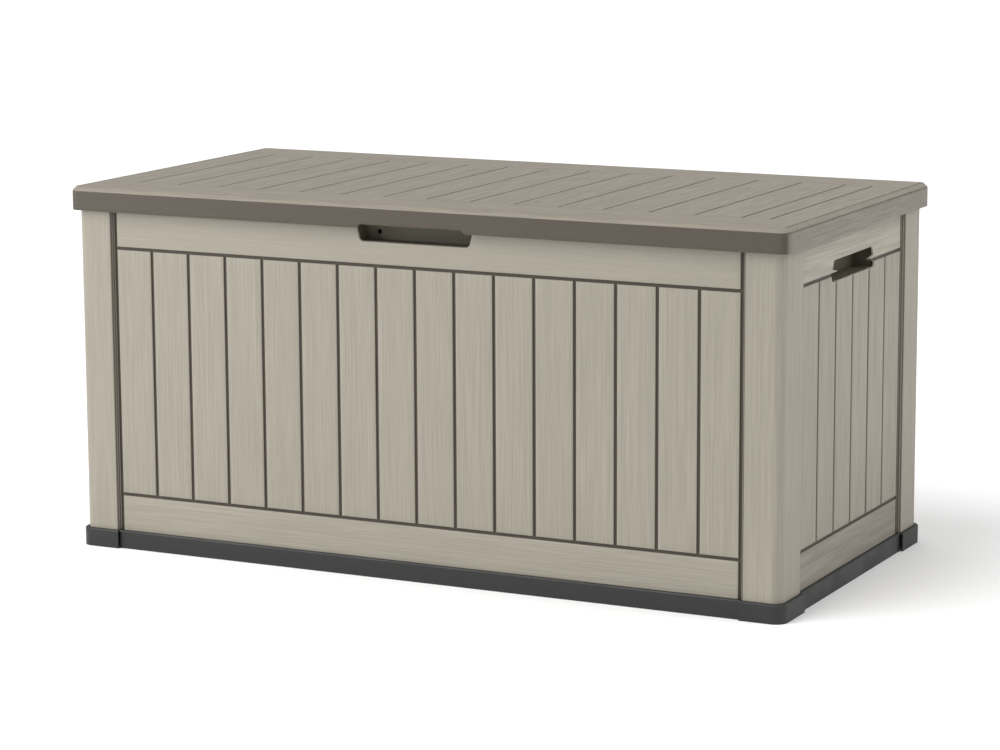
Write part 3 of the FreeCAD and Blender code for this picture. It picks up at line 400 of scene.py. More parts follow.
def axes(tree, vector):
    """The X, Y and Z sockets of a vector."""
    return put(tree, "ShaderNodeSeparateXYZ", Vector=vector).outputs


def from_axes(tree, x, y, z):
    return put(tree, "ShaderNodeCombineXYZ", X=x, Y=y, Z=z).outputs[0]


def noise(tree, vector, scale, detail, roughness=0.5):
    made = put(tree, "ShaderNodeTexNoise", Vector=vector, Scale=scale, Detail=detail, Roughness=roughness)
    return made.outputs[0]


def blend(tree, amount, first, second):
    made = put(tree, "ShaderNodeMix", {"data_type": "RGBA"}, _0=amount, _6=first, _7=second)
    return made.outputs[2]


def map_range(tree, value, low, high, to_low=0.0, to_high=1.0):
    made = put(tree, "ShaderNodeMapRange", {"interpolation_type": "SMOOTHSTEP"}, Value=value,
               From_Min=low, From_Max=high, To_Min=to_low, To_Max=to_high)
    return made.outputs[0]


def new_group(name, inputs, outputs):
    tree = bpy.data.node_groups.new(name, "ShaderNodeTree")
    for label, kind, default in inputs:
        socket = tree.interface.new_socket(name=label, in_out="INPUT", socket_type=kind)
        if default is not None:
            socket.default_value = default
    for label, kind in outputs:
        tree.interface.new_socket(name=label, in_out="OUTPUT", socket_type=kind)
    return tree, tree.nodes.new("NodeGroupInput"), tree.nodes.new("NodeGroupOutput")


def wood_grain_group():
    """Moulded wood grain along Z of its coordinates: fine streaks over broad bands, with a slow wave."""
    name = "moulded wood grain"
    if name in bpy.data.node_groups:
        return bpy.data.node_groups[name]
    tree, given, out = new_group(
        name,
        [("Coordinates", "NodeSocketVector", None), ("Streaks Across", "NodeSocketFloat", 500.0),
         ("Streaks Along", "NodeSocketFloat", 11.0), ("Wave", "NodeSocketFloat", 0.004)],
        [("Tone", "NodeSocketFloat"), ("Height", "NodeSocketFloat")])
    drift = put(tree, "ShaderNodeTexNoise", Vector=given.outputs[0], Scale=3.5, Detail=1.0).outputs[1]
    drift = vector_calc(tree, "SUBTRACT", drift, (0.5, 0.5, 0.5))
    wave = put(tree, "ShaderNodeVectorMath", {"operation": "SCALE"}, _0=drift, Scale=given.outputs[3])
    moved = vector_calc(tree, "ADD", given.outputs[0], wave.outputs[0])
    stretch = from_axes(tree, given.outputs[1], given.outputs[1], given.outputs[2])
    lines = vector_calc(tree, "MULTIPLY", moved, stretch)
    fine = noise(tree, lines, 1.0, 3.0, 0.6)
    broad = noise(tree, vector_calc(tree, "MULTIPLY", lines, (0.16, 0.16, 0.3)), 1.0, 2.0)
    tone = calc(tree, "ADD", calc(tree, "MULTIPLY", fine, 0.84), calc(tree, "MULTIPLY", broad, 0.16))
    tree.links.new(map_range(tree, tone, 0.36, 0.64), out.inputs[0])
    tree.links.new(map_range(tree, fine, 0.36, 0.6), out.inputs[1])
    return tree


def mottle_group():
    """Slow, faint colour drift of a resin moulding, and a fine pitted skin."""
    name = "resin mottle"
    if name in bpy.data.node_groups:
        return bpy.data.node_groups[name]
    tree, given, out = new_group(
        name,
        [("Coordinates", "NodeSocketVector", None), ("Patch Scale", "NodeSocketFloat", 6.0),
         ("Skin Scale", "NodeSocketFloat", 900.0)],
        [("Drift", "NodeSocketFloat"), ("Skin", "NodeSocketFloat")])
    patches = put(tree, "ShaderNodeTexNoise", Vector=given.outputs[0], Scale=given.outputs[1], Detail=3.0)
    skin = put(tree, "ShaderNodeTexNoise", Vector=given.outputs[0], Scale=given.outputs[2], Detail=1.0)
    tree.links.new(map_range(tree, patches.outputs[0], 0.3, 0.7), out.inputs[0])
    tree.links.new(map_range(tree, skin.outputs[0], 0.35, 0.65), out.inputs[1])
    return tree


def new_material(name):
    material = bpy.data.materials.new(name)
    material.use_nodes = True
    tree = material.node_tree
    shader = tree.nodes["Principled BSDF"]
    place = put(tree, "ShaderNodeTexCoord").outputs["Object"]
    return material, tree, shader, place


def use_group(tree, group, **values):
    made = put(tree, "ShaderNodeGroup", {"node_tree": group}, **values)
    return made.outputs


def rgba(value, factor=1.0):
    return tuple(min(1.0, channel * factor) for channel in value) + (1.0,)


def wire(tree, shader, tone, roughness, height=None, strength=0.0, relief=0.0):
    """Leads a colour, a roughness and, where there is one, a fine relief into the shader."""
    tree.links.new(tone, shader.inputs["Base Color"])
    tree.links.new(roughness, shader.inputs["Roughness"])
    if height is not None:
        bump = put(tree, "ShaderNodeBump", Height=height, Strength=strength, Distance=relief)
        tree.links.new(bump.outputs[0], shader.inputs["Normal"])


def grained_resin(name, base, groove, place_for_grain, across=520.0, along=6.0, contrast=0.075,
                  relief=0.00024, roughness=0.55, extra=None):
    """Moulded resin with wood grain. place_for_grain turns object coordinates so the grain runs along Z."""
    material, tree, shader, place = new_material(name)
    grain = use_group(tree, wood_grain_group(), Coordinates=place_for_grain(tree, place),
                      Streaks_Across=across, Streaks_Along=along, Wave=0.003)
    mottle = use_group(tree, mottle_group(), Coordinates=place)
    tinted = blend(tree, grain[0], rgba(base, 1 - contrast), rgba(base, 1 + contrast))
    tinted = blend(tree, calc(tree, "MULTIPLY", mottle[0], 0.08), tinted, rgba(base, 0.75))
    if extra:
        tinted = extra(tree, place, tinted)
    # Painted shade: the groove_shade attribute blends the groove colour into grooves, flanks and lid lines.
    shade = put(tree, "ShaderNodeAttribute", {"attribute_name": "groove_shade"}).outputs["Fac"]
    height = calc(tree, "ADD", grain[1], calc(tree, "MULTIPLY", mottle[1], 0.12))
    wire(tree, shader, blend(tree, shade, tinted, rgba(groove)),
         map_range(tree, grain[0], 0.0, 1.0, roughness + 0.06, roughness - 0.06), height, 0.7, relief)
    shader.inputs["Specular IOR Level"].default_value = 0.35
    return material


def choose(tree, mask, first, second):
    made = put(tree, "ShaderNodeMix", {"data_type": "VECTOR"}, _0=mask, _4=first, _5=second)
    return made.outputs[1]


def fresh_per_plank(tree, x, first_edge, pitch, step):
    """x moved on by a step at every plank, so that each plank has its own grain; lengths in millimetres."""
    from_edge = calc(tree, "SUBTRACT", x, first_edge * MM)
    plank = calc(tree, "FLOOR", calc(tree, "DIVIDE", from_edge, pitch * MM))
    return calc(tree, "ADD", x, calc(tree, "MULTIPLY", plank, step))


def rail_masks(tree, height):
    """Masks of a panel's upper and lower rail."""
    return (calc(tree, "GREATER_THAN", height, RAIL_HIGH_Z * MM),
            calc(tree, "LESS_THAN", height, RAIL_LOW_Z * MM))


def panel_grain(tree, place):
    """Upright grain on the planks, a fresh pattern on each, and level grain on the two rails."""
    x, y, z = axes(tree, place)
    on_rail = calc(tree, "MAXIMUM", *rail_masks(tree, z))
    reach = FOOT_LONG - GROOVE_INSET
    fresh = fresh_per_plank(tree, x, -reach, 2 * reach / LONG_PLANKS, 0.731)
    return choose(tree, on_rail, from_axes(tree, fresh, y, z), from_axes(tree, z, y, x))


def lid_grain(tree, place):
    """Grain along Y on the planks and along X on the front and back boards."""
    x, y, z = axes(tree, place)
    on_board = calc(tree, "GREATER_THAN", calc(tree, "ABSOLUTE", y), LID_BOARD_Y * MM)
    fresh = fresh_per_plank(tree, x, LID_FIRST_LINE, LID_PLANK, 0.373)
    return choose(tree, on_board, from_axes(tree, fresh, z, y), from_axes(tree, z, y, x))


def calm_rails(base):
    def tone(tree, place, tinted):
        """The upper rail of a long panel is smoother than its planks."""
        above = calc(tree, "GREATER_THAN", axes(tree, place)[2], RAIL_HIGH_Z * MM)
        return blend(tree, calc(tree, "MULTIPLY", above, 0.6), tinted, rgba(base, 1.03))
    return tone


def end_rail_painted_light(base):
    def tone(tree, place, tinted):
        """Painted light on an end panel: pale wavy streaks of painted highlight on the upper rail, and painted
        shade darkening the lower rail.
        """
        above, below = rail_masks(tree, axes(tree, place)[2])
        waves = noise(tree, vector_calc(tree, "MULTIPLY", place, (5.0, 5.0, 95.0)), 1.0, 2.0)
        pale = calc(tree, "MULTIPLY", above, map_range(tree, waves, 0.42, 0.62, 0.25, 0.9))
        dark = calc(tree, "MULTIPLY", below, map_range(tree, waves, 0.38, 0.62, 0.9, 0.4))
        return blend(tree, dark, blend(tree, pale, tinted, rgba(base, 1.28)), rgba(base, 0.68))
    return tone


def lid_skirt_painted_shade(skirt):
    def tone(tree, place, tinted):
        """The lid's upright faces, picked out by their normals, are darker than its top: the long edges most,
        the ends less. This is partly the skirt's own darker taupe and partly painted shade.
        """
        x, y, z = (calc(tree, "ABSOLUTE", part)
                   for part in axes(tree, put(tree, "ShaderNodeTexCoord").outputs["Normal"]))
        along_front = map_range(tree, y, 0.2, 0.8)
        upright = map_range(tree, z, 0.35, 0.5, 1.0, 0.0)
        at_ends = map_range(tree, x, 0.75, 0.85, 0.0, 0.3)
        mask = calc(tree, "MULTIPLY", calc(tree, "MAXIMUM", along_front, at_ends), upright)
        return blend(tree, mask, tinted, rgba(skirt))
    return tone


def plain_resin(name, base, roughness):
    """Moulded resin with a fine pitted skin and no grain."""
    material, tree, shader, place = new_material(name)
    mottle = use_group(tree, mottle_group(), Coordinates=place, Patch_Scale=9.0, Skin_Scale=900.0)
    wire(tree, shader, blend(tree, mottle[0], rgba(base, 0.95), rgba(base, 1.05)),
         map_range(tree, mottle[0], 0.0, 1.0, roughness - 0.05, roughness + 0.07), mottle[1], 0.5, 0.00012)
    return material


def metal(name, base, roughness, streak):
    """Plated or ground metal with faint drawn streaks."""
    material, tree, shader, place = new_material(name)
    lines = noise(tree, vector_calc(tree, "MULTIPLY", place, (300.0, streak, streak)), 1.0, 3.0, 0.6)
    wire(tree, shader, blend(tree, map_range(tree, lines, 0.35, 0.65), rgba(base, 0.86), rgba(base, 1.05)),
         map_range(tree, lines, 0.3, 0.7, roughness * 0.8, roughness * 1.25))
    shader.inputs["Metallic"].default_value = 1.0
    return material


def painted(name, base, roughness):
    """Black powder coat or gloss paint with a slight orange peel."""
    material, tree, shader, place = new_material(name)
    mottle = use_group(tree, mottle_group(), Coordinates=place, Patch_Scale=14.0, Skin_Scale=450.0)
    wire(tree, shader, blend(tree, mottle[0], rgba(base, 0.85), rgba(base, 1.2)),
         map_range(tree, mottle[1], 0.0, 1.0, roughness - 0.04, roughness + 0.05), mottle[1], 0.25, 0.00008)
    shader.inputs["Coat Weight"].default_value = 0.3
    return material


# ---- panels ----
def plank_places(foot, planks):
    reach = foot - GROOVE_INSET
    return [reach * (2 * i / planks - 1) for i in range(planks + 1)]


def panel_form(sizes, foot, face, planks, seed):
    """A panel facing -Y: planks between two rails, ribs behind the grooves, flange along the top."""
    half = foot + TONGUE
    places = plank_places(foot, planks)
    groove_marks = (0.0, 0.8, 1.5, 1.95, 2.4, 2.85, 3.3, 4.4)
    foot_step = foot - 0.3
    x = stations(-half, half, 7.0, around(places, groove_marks) + [-foot_step, foot_step])
    z = stations(FRAME_Z0, RIM_Z, 15.0, around([RAIL_LOW_Z, RAIL_HIGH_Z], groove_marks))
    xs, zs = np.meshgrid(x, z)
    wide = sizes.groove_half
    between = ((zs > RAIL_LOW_Z) & (zs < RAIL_HIGH_Z)).astype(float)
    inside = (np.abs(xs) <= places[-1]).astype(float)
    lines = [(xs - place, 1.0 if place in (places[0], places[-1]) else between) for place in places]
    lines += [(zs - height, inside) for height in (RAIL_LOW_Z, RAIL_HIGH_Z)]
    cut, back_rib = np.zeros_like(xs), np.zeros_like(xs)
    for away, where in lines:
        cut = np.maximum(cut, (1 - ramp(wide - 1.4, wide + 0.4, np.abs(away))) * where)
        back_rib = np.maximum(back_rib, (1 - ramp(3.6, 4.7, np.abs(away))) * where)
    back_rib = np.where(np.abs(xs) > foot_step, 0.0, back_rib)
    on_rail = 1 - between
    grain = (value_noise(xs, zs, 9.0, 120.0, seed) * (1 - on_rail)
             + value_noise(zs, xs, 9.0, 160.0, seed + 1) * on_rail)
    relief = sizes.relief * grain * (1 - cut)
    tops = np.where((zs > RIM_Z - 0.01) & (np.abs(xs) > foot - 0.2), RIM_Z - WALL - PLAY, zs)
    front = np.stack([xs, -face + sizes.groove_depth * cut - relief, tops], axis=2)
    back = np.stack([xs, -face + WALL + sizes.groove_depth * back_rib, tops], axis=2)
    form = Form()
    # Painted shade darkens the grooves, more where they are deeper; their rounded shoulders stay unshaded.
    form.sheet(front, back, shade=ramp(0.15, 0.7, cut))
    return form


def panel_fittings(face, foot):
    """The flange along the top edge and the rib that the base screws run through."""
    form = Form()
    reach = foot - 7.0
    inner = -face + WALL - 0.4
    form.block((-reach, inner, RIM_Z - WALL), (reach, -face + FLANGE_DEPTH, RIM_Z - 0.1), 0.6)
    form.block((-reach, inner, SCREW_RIB_LOW_Z), (reach, -face + 2 * WALL, SCREW_RIB_HIGH_Z), 0.6)
    return form


def opening_cutter(outline, face, deep, lead=1.0):
    """A cutter through a panel's wall that is a little wider at the outer face."""
    wide = offset_path(outline, -lead, closed=True)
    rings = [(wide, -face - 2.0), (wide, -face + 0.15), (outline, -face + 0.15 + lead), (outline, -face + deep)]
    count = len(outline)
    points = np.concatenate([np.column_stack([r[:, 0], np.full(count, y), r[:, 1]]) for r, y in rings])
    caps = [tuple(range(count)), tuple(range(3 * count, 4 * count))[::-1]]
    form = Form()
    form.add(points, caps + [(b, a, d, c) for a, b, c, d in ring_faces(4, count)])
    return show("cutter", form.mesh("cutter"))


def front_opening():
    """Hand hold under the lid: flat top, leaning ends, rounded lower corners."""
    low, high = LID_TOP - 69.0, LID_TOP - 38.0
    return rounded_path([(-108.5, low), (108.5, low), (116.0, high), (-116.0, high)],
                        [9.0, 9.0, 1.0, 1.0], steps=6, closed=True)


def side_opening():
    """Hand hold in an end panel: a sagging lower edge over a wider slot across the rail groove."""
    top, lip, slot_top, slot_low = (LID_TOP - drop for drop in (88.0, 103.5, 110.0, 125.5))
    wide, tip, sag = 102.0, 81.0, 11.0
    places = [wide + (tip - wide) * i / 4 for i in range(5)]
    arc = [(place, lip - sag + sag * (place / wide) ** 2) for place in places]
    right = [(106.0, slot_low), (106.0, slot_top), (tip, slot_top)] + arc[::-1] + [(96.0, top)]
    radii = [7.0, 5.0, 0.8, 0.8] + [0.0] * 4 + [8.0]
    points = right + [(-a, b) for a, b in right[::-1]]
    return rounded_path(points, radii + radii[::-1], steps=5, closed=True)


def hinge_lug_outline():
    """Outline and bore of a lug that stands out from the rear panel, with as many points each."""
    radius, count = HINGE_RADIUS, 40
    corners = [(PANEL_Y - 0.5, HINGE_Z + radius - 1), (HINGE_Y, HINGE_Z + radius - 1),
               (HINGE_Y + radius * 0.707, HINGE_Z - radius * 0.707), (PANEL_Y - 0.5, HINGE_Z - 3.4 * radius)]
    centre = np.array([HINGE_Y, HINGE_Z])
    outer, bore = [], []
    for i in range(count):
        angle = 2 * math.pi * i / count
        ray = np.array([math.cos(angle), math.sin(angle)])
        reach = radius
        for start, end in zip(corners, corners[1:] + corners[:1]):
            start, side = np.array(start) - centre, np.array(end) - np.array(start)
            cross = ray[0] * side[1] - ray[1] * side[0]
            if abs(cross) < 1e-9:
                continue
            along = (start[0] * side[1] - start[1] * side[0]) / cross
            share = (start[0] * ray[1] - start[1] * ray[0]) / cross
            if along > 0 and 0 <= share <= 1:
                reach = max(reach, along)
        outer.append(centre + ray * reach)
        bore.append(centre + ray * LUG_BORE)
    return np.array(outer), np.array(bore)


def circle(across, up, radius, count=40):
    angles = np.arange(count) * 2 * math.pi / count
    return np.stack([across + radius * np.cos(angles), up + radius * np.sin(angles)], axis=1)


def join_form(piece, form):
    """Adds a form's islands to a piece's mesh."""
    extra = form.mesh("extra")
    bm = bmesh.new()
    bm.from_mesh(piece.data)
    bm.from_mesh(extra)
    bm.to_mesh(piece.data)
    bm.free()
    bpy.data.meshes.remove(extra)


class DECKBOX_OT_panels(bpy.types.Operator):
    """Build the four plank panels with their grips and hinge lugs"""
    bl_idname = "deckbox.panels"
    bl_label = "Panels"

    def execute(self, context):
        sizes, colours = context.scene.deck_box_sizes, context.scene.deck_box_colours
        resin = grained_resin("body_panel_resin", colours.body, colours.groove, panel_grain,
                              extra=calm_rails(colours.body))
        end_resin = grained_resin("body_end_panel_resin", colours.body, colours.groove, panel_grain,
                                  contrast=0.11, extra=end_rail_painted_light(colours.body))
        for name, turn, foot, face, planks, seed in (
                ("front_panel", 0, FOOT_LONG, PANEL_Y, LONG_PLANKS, 11),
                ("rear_panel", 180, FOOT_LONG, PANEL_Y, LONG_PLANKS, 23),
                ("right_panel", 90, FOOT_SIDE, PANEL_X, SIDE_PLANKS, 37),
                ("left_panel", 270, FOOT_SIDE, PANEL_X, SIDE_PLANKS, 41)):
            piece = show("plank_" + name, panel_form(sizes, foot, face, planks, seed).mesh(name))
            if name == "front_panel":
                carve(piece, opening_cutter(front_opening(), face, WALL + 2.0))
            elif foot == FOOT_SIDE:
                carve(piece, opening_cutter(side_opening(), face, 2 * WALL + 2.0, lead=0.5))
            fittings = panel_fittings(face, foot)
            if name == "rear_panel":
                outer, bore = hinge_lug_outline()
                turned_outer = np.stack([-outer[:, 0], outer[:, 1]], axis=1)[::-1]
                turned_bore = np.stack([-bore[:, 0], bore[:, 1]], axis=1)[::-1]
                for hinge in HINGES:
                    for start in LUG_STARTS:
                        fittings.pierced(turned_outer, turned_bore, hinge + start, hinge + start + LUG_WIDTH)
            join_form(piece, fittings)
            piece.matrix_world = Matrix.Rotation(math.radians(turn), 4, "Z")
            settle(piece, "box", "body_resin", end_resin if foot == FOOT_SIDE else resin, name)
        return {"FINISHED"}


# ---- posts ----
def post_form(sizes, side_x, side_y, seed):
    """A hollow corner post, drawn in the rear right quarter and mirrored into its own."""
    inner_x, inner_y = POST_X - POST_FRONT, POST_Y - POST_SIDE
    corners = [(PANEL_X + PLAY, FOOT_SIDE + PLAY), (POST_X, inner_y), (POST_X, POST_Y), (inner_x, POST_Y),
               (FOOT_LONG + PLAY, PANEL_Y + PLAY)]
    path = rounded_path(corners, [0, POST_SOFT, POST_CORNER, POST_SOFT, 0], steps=6)
    outer = finer(path, 6.0)
    inner = offset_path(outer, WALL)
    along = np.concatenate([[0.0], np.cumsum(np.linalg.norm(np.diff(outer, axis=0), axis=1))])
    z = stations(FRAME_Z0, RIM_Z, 15.0, [FRAME_Z0 + 0.6, RIM_Z - 0.6])
    us, zs = np.meshgrid(along, z)
    relief = sizes.relief * value_noise(us, zs, 8.0, 130.0, seed)
    relief[:, 0] = relief[:, -1] = 0
    slide = offset_path(outer, -1.0) - outer
    mirror = np.array([side_x, side_y, 1.0])
    front = np.concatenate([outer[None] + slide[None] * relief[..., None], zs[..., None]], axis=2)
    back = np.concatenate([np.repeat(inner[None], len(z), axis=0), zs[..., None]], axis=2)
    form = Form()
    # Painted shade darkens each post's sloping flanks beside the panels.
    flank = math.dist(corners[0], corners[1])
    from_end = np.minimum(us, along[-1] - us)
    form.sheet(front * mirror, back * mirror, 0.85 * (1 - ramp(flank - 1.5, flank + 0.8, from_end)),
               flip=side_x * side_y < 0)
    for swap, face, foot, outside in ((False, PANEL_Y, FOOT_LONG, POST_Y), (True, PANEL_X, FOOT_SIDE, POST_X)):
        lip_outside, lip_inside = face + PLAY, face - WALL - PLAY
        web = foot + TONGUE + 3.0
        for a0, a1, b0, b1 in (
                (foot + PLAY + 1.5, web + WALL, lip_outside, lip_outside + WALL),
                (web, web + WALL, lip_inside - WALL, outside - WALL + 0.5),
                (web + WALL - 25.0, web + WALL - 0.8, lip_inside - WALL + 0.05, lip_inside)):
            low = np.array((b0, a0, FRAME_Z0 + 0.2) if swap else (a0, b0, FRAME_Z0 + 0.2))
            high = np.array((b1, a1, RIM_Z - 0.2) if swap else (a1, b1, RIM_Z - 0.2))
            form.block(low * mirror, high * mirror, 0.4)
    shelf = rounded_path([(inner_x + 0.3, PANEL_Y - 2 * WALL), (PANEL_X - 2 * WALL, PANEL_Y - 2 * WALL),
                          (PANEL_X - 2 * WALL, inner_y + 0.3), (POST_X - 0.4, inner_y + 0.3),
                          (POST_X - 0.4, POST_Y - 0.4), (inner_x + 0.3, POST_Y - 0.4)],
                         [0.5, 1.0, 0.5, 2.0, POST_CORNER - 0.4, 2.0], steps=6, closed=True)
    form.plate(shelf * mirror[:2], RIM_Z - WALL, RIM_Z + 0.05, edge=0.3)
    return form


class DECKBOX_OT_posts(bpy.types.Operator):
    """Build the four corner posts"""
    bl_idname = "deckbox.posts"
    bl_label = "Corner posts"

    def execute(self, context):
        sizes, colours = context.scene.deck_box_sizes, context.scene.deck_box_colours
        resin = grained_resin("body_post_resin", colours.body, colours.groove, lambda tree, place: place)
        for name, side_x, side_y, seed in (("front_left", -1, -1, 51), ("front_right", 1, -1, 52),
                                           ("rear_left", -1, 1, 53), ("rear_right", 1, 1, 54)):
            piece = show("corner_%s_post" % name, post_form(sizes, side_x, side_y, seed).mesh(name))
            settle(piece, "box", "body_resin", resin, name + "_post")
        return {"FINISHED"}


# ---- lid ----
def squared_corners(xs, ys, half_x, half_y, radius):
    """Moves the points of a rectangular grid so that its four corners become round."""
    a = (np.abs(xs) - (half_x - radius)) / radius
    b = (np.abs(ys) - (half_y - radius)) / radius
    corner = (a > 0) & (b > 0)
    a, b = np.clip(a, 0, 1), np.clip(b, 0, 1)
    round_a = a * np.sqrt(1 - b * b / 2)
    round_b = b * np.sqrt(1 - a * a / 2)
    new_x = np.where(corner, np.sign(xs) * (half_x - radius + radius * round_a), xs)
    new_y = np.where(corner, np.sign(ys) * (half_y - radius + radius * round_b), ys)
    return new_x, new_y


def lid_form(sizes):
    """The lid's top with its lines, then rings down the edge, round the skirt's foot and back up inside."""
    bevel, inset = LID_BEVEL, LID_INSET
    half_x, half_y, radius = LID_X - bevel - inset, LID_Y - bevel - inset, LID_CORNER - bevel - inset
    notch_marks = [place + step for place in (NOTCH_FLAT, NOTCH_END) for step in (-1.5, 0.0, 1.5)]
    x_marks = around([0.0], notch_marks + [half_x - radius, half_x - radius / 2])
    y_marks = around([0.0], (half_y - radius, half_y - radius / 2))
    x = stations(-half_x, half_x, 8.0, around(LID_LINES, (0.0, 1.0, 1.4, 1.8, 2.3, 3.2)) + x_marks)
    y = stations(-half_y, half_y, 15.0,
                 around([-LID_BOARD_Y, LID_BOARD_Y], (0.0, 0.5, 0.9, 1.3, 2.4)) + y_marks)
    xs, ys = np.meshgrid(x, y)
    depth = np.zeros_like(xs)
    for place in LID_LINES:
        depth = np.maximum(depth, (1 - ramp(1.0, 2.3, np.abs(xs - place))) * (np.abs(ys) < LID_BOARD_Y))
    board_line = 1 - ramp(0.3, 1.3, np.abs(np.abs(ys) - LID_BOARD_Y))
    depth_mm = np.maximum(depth * sizes.lid_groove_depth, board_line * 0.9)
    on_board = np.abs(ys) > LID_BOARD_Y
    grain = np.where(on_board, value_noise(ys, xs, 10.0, 140.0, 61), value_noise(xs, ys, 10.0, 140.0, 62))
    top_z = LID_TOP - depth_mm + sizes.relief * np.minimum(grain, 0) * (depth_mm < 0.01)
    round_x, round_y = squared_corners(xs, ys, half_x, half_y, radius)
    rows, columns = xs.shape
    top = np.stack([round_x, round_y, top_z], axis=2)

    # the boundary, anticlockwise from the lowest corner, with its outward directions
    index = np.arange(rows * columns).reshape(rows, columns)
    loop = np.concatenate([index[0, :-1], index[:-1, -1], index[-1, :0:-1], index[:0:-1, 0]])
    edge_points = top.reshape(-1, 3)[loop]
    straight = np.array([half_x - radius, half_y - radius])
    outward = edge_points[:, :2] - np.clip(edge_points[:, :2], -straight, straight)
    outward /= np.linalg.norm(outward, axis=1)[:, None]
    at_end = ramp(0.5, 0.95, np.abs(outward[:, 0]))
    at_board = board_line.reshape(-1)[loop]
    on_front = (edge_points[:, 1] < 0) & (np.abs(outward[:, 1]) > 0.9)
    notch = NOTCH_RISE * (1 - ramp(NOTCH_FLAT, NOTCH_END, np.abs(edge_points[:, 0]))) * on_front
    bottom = SKIRT_Z + notch

    rings = []   # (outward distance, height, shade) for each point of the loop
    section = rounded_path([(0.5, LID_TOP), (bevel, LID_TOP - bevel + 0.5), (bevel, LID_TOP - 20.0)],
                           [0.0, sizes.edge_round * 1.5, 0.0], steps=4)
    # Painted shade darkens a thin dipped line along each end of the lid, at the top's edge.
    for outward_by, dip, shade in ((-3.5, 0.0, 0.0), (-3.2, 1.2, 1.0), (-1.2, 1.2, 1.0), (-0.7, 0.0, 0.0)):
        rings.append((outward_by, LID_TOP - dip * at_end, shade * at_end))
    section = np.insert(section, 1, (bevel - 1.9, LID_TOP - bevel + 2.4), axis=0)
    for outward_by, height in section[:-1]:
        # tick is a small dip with painted shade where a board line meets the edge; low_line is a painted shade
        # line along the foot of the ends' bevel.
        tick = 0.7 * at_board * at_end
        low_line = at_end * (0.5 if outward_by > bevel - 1.2 else 0.0)
        rings.append((outward_by - tick, height - tick - (0.12 if outward_by < 1 else 0.0),
                      np.maximum(tick, low_line)))
    rings.append((bevel, section[-2][1] - 0.8, 0.0))
    rings += [(bevel, (LID_TOP - bevel) * (1 - share) + bottom * share, 0.0) for share in (0.3, 0.55, 0.8)]
    inside = bevel - WALL
    rings += [(bevel, bottom + 1.5, 0.0), (bevel - 0.4, bottom + 0.4, 0.0), (bevel - 1.5, bottom, 0.0),
              (inside + 0.4, bottom, 0.0), (inside, bottom + 0.4, 0.0), (inside, LID_TOP - 12.0, 0.0),
              (inside, LID_TOP - 9.8, 0.0), (-0.9, LID_TOP - WALL, 0.0)]

    count = len(loop)
    points = [top.reshape(-1, 3)]
    # Painted shade in the lid's plank lines and board lines, rising with their depth.
    shades = [np.maximum(ramp(0.05, 0.6, depth), 0.8 * ramp(0.1, 0.8, board_line)).ravel()]
    for outward_by, height, shade in rings:
        plan = edge_points[:, :2] + outward * (np.asarray(outward_by) + inset).reshape(-1, 1)
        points.append(np.column_stack([plan, np.broadcast_to(height, count)]))
        shades.append(np.broadcast_to(shade, count))
    under = np.stack([round_x, round_y, np.full_like(xs, LID_TOP - WALL)], axis=2)
    points.append(under.reshape(-1, 3))
    shades.append(np.zeros(rows * columns))

    faces = [grid_faces(index)]
    below = index + rows * columns + count * len(rings)
    loops = [loop] + [rows * columns + count * ring + np.arange(count) for ring in range(len(rings))]
    for upper, lower in zip(loops, loops[1:] + [below.reshape(-1)[loop]]):
        faces.append(np.stack([np.roll(upper, -1), upper, lower, np.roll(lower, -1)], axis=1))
    faces.append(grid_faces(below, flip=True))
    form = Form()
    form.add(np.concatenate(points), np.concatenate(faces), np.concatenate(shades))
    return form


def add_lid_inside(form):
    """Hinge knuckles with their leaves, and the seat ribs that rest on the body's rim."""
    outer, bore = circle(HINGE_Y, HINGE_Z, HINGE_RADIUS), circle(HINGE_Y, HINGE_Z, KNUCKLE_BORE)
    for hinge in HINGES:
        left, right = hinge - KNUCKLE_HALF, hinge + KNUCKLE_HALF
        form.pierced(outer, bore, left, right)
        form.block((left, HINGE_Y + 3.4, HINGE_Z + 1.0), (right, LID_Y - 0.4, SKIRT_Z + 14.0), 0.4)
    seat_x, seat_y, ceiling = PANEL_X + 0.5, PANEL_Y + 0.5, LID_TOP - WALL
    short_y = seat_y - 0.8   # the end ribs stop short, so that no edge lies on a long rib's edge
    for side in (-1, 1):
        form.block((-seat_x, side * (seat_y - WALL), RIM_Z + 0.5), (seat_x, side * seat_y, ceiling + 0.3), 0.4)
        form.block((side * (seat_x - WALL), -short_y, RIM_Z + 0.55),
                   (side * (seat_x - 0.05), short_y, ceiling + 0.25), 0.4)


class DECKBOX_OT_lid(bpy.types.Operator):
    """Build the lid's outer moulding"""
    bl_idname = "deckbox.lid"
    bl_label = "Lid"

    def execute(self, context):
        sizes, colours = context.scene.deck_box_sizes, context.scene.deck_box_colours
        # Painted shade, darker than the panels', for the lid's lines.
        lid_line_shade = [0.4 * value for value in colours.groove]
        resin = grained_resin("lid_resin", colours.lid, lid_line_shade, lid_grain, across=420.0, along=12.0,
                              contrast=0.09, relief=0.0003, roughness=0.5,
                              extra=lid_skirt_painted_shade(colours.lid_skirt))
        form = lid_form(sizes)
        add_lid_inside(form)
        piece = show("lid_moulding", form.mesh("lid_moulding"))
        settle(piece, "lid", "lid_resin", resin, "lid_shell")
        return {"FINISHED"}


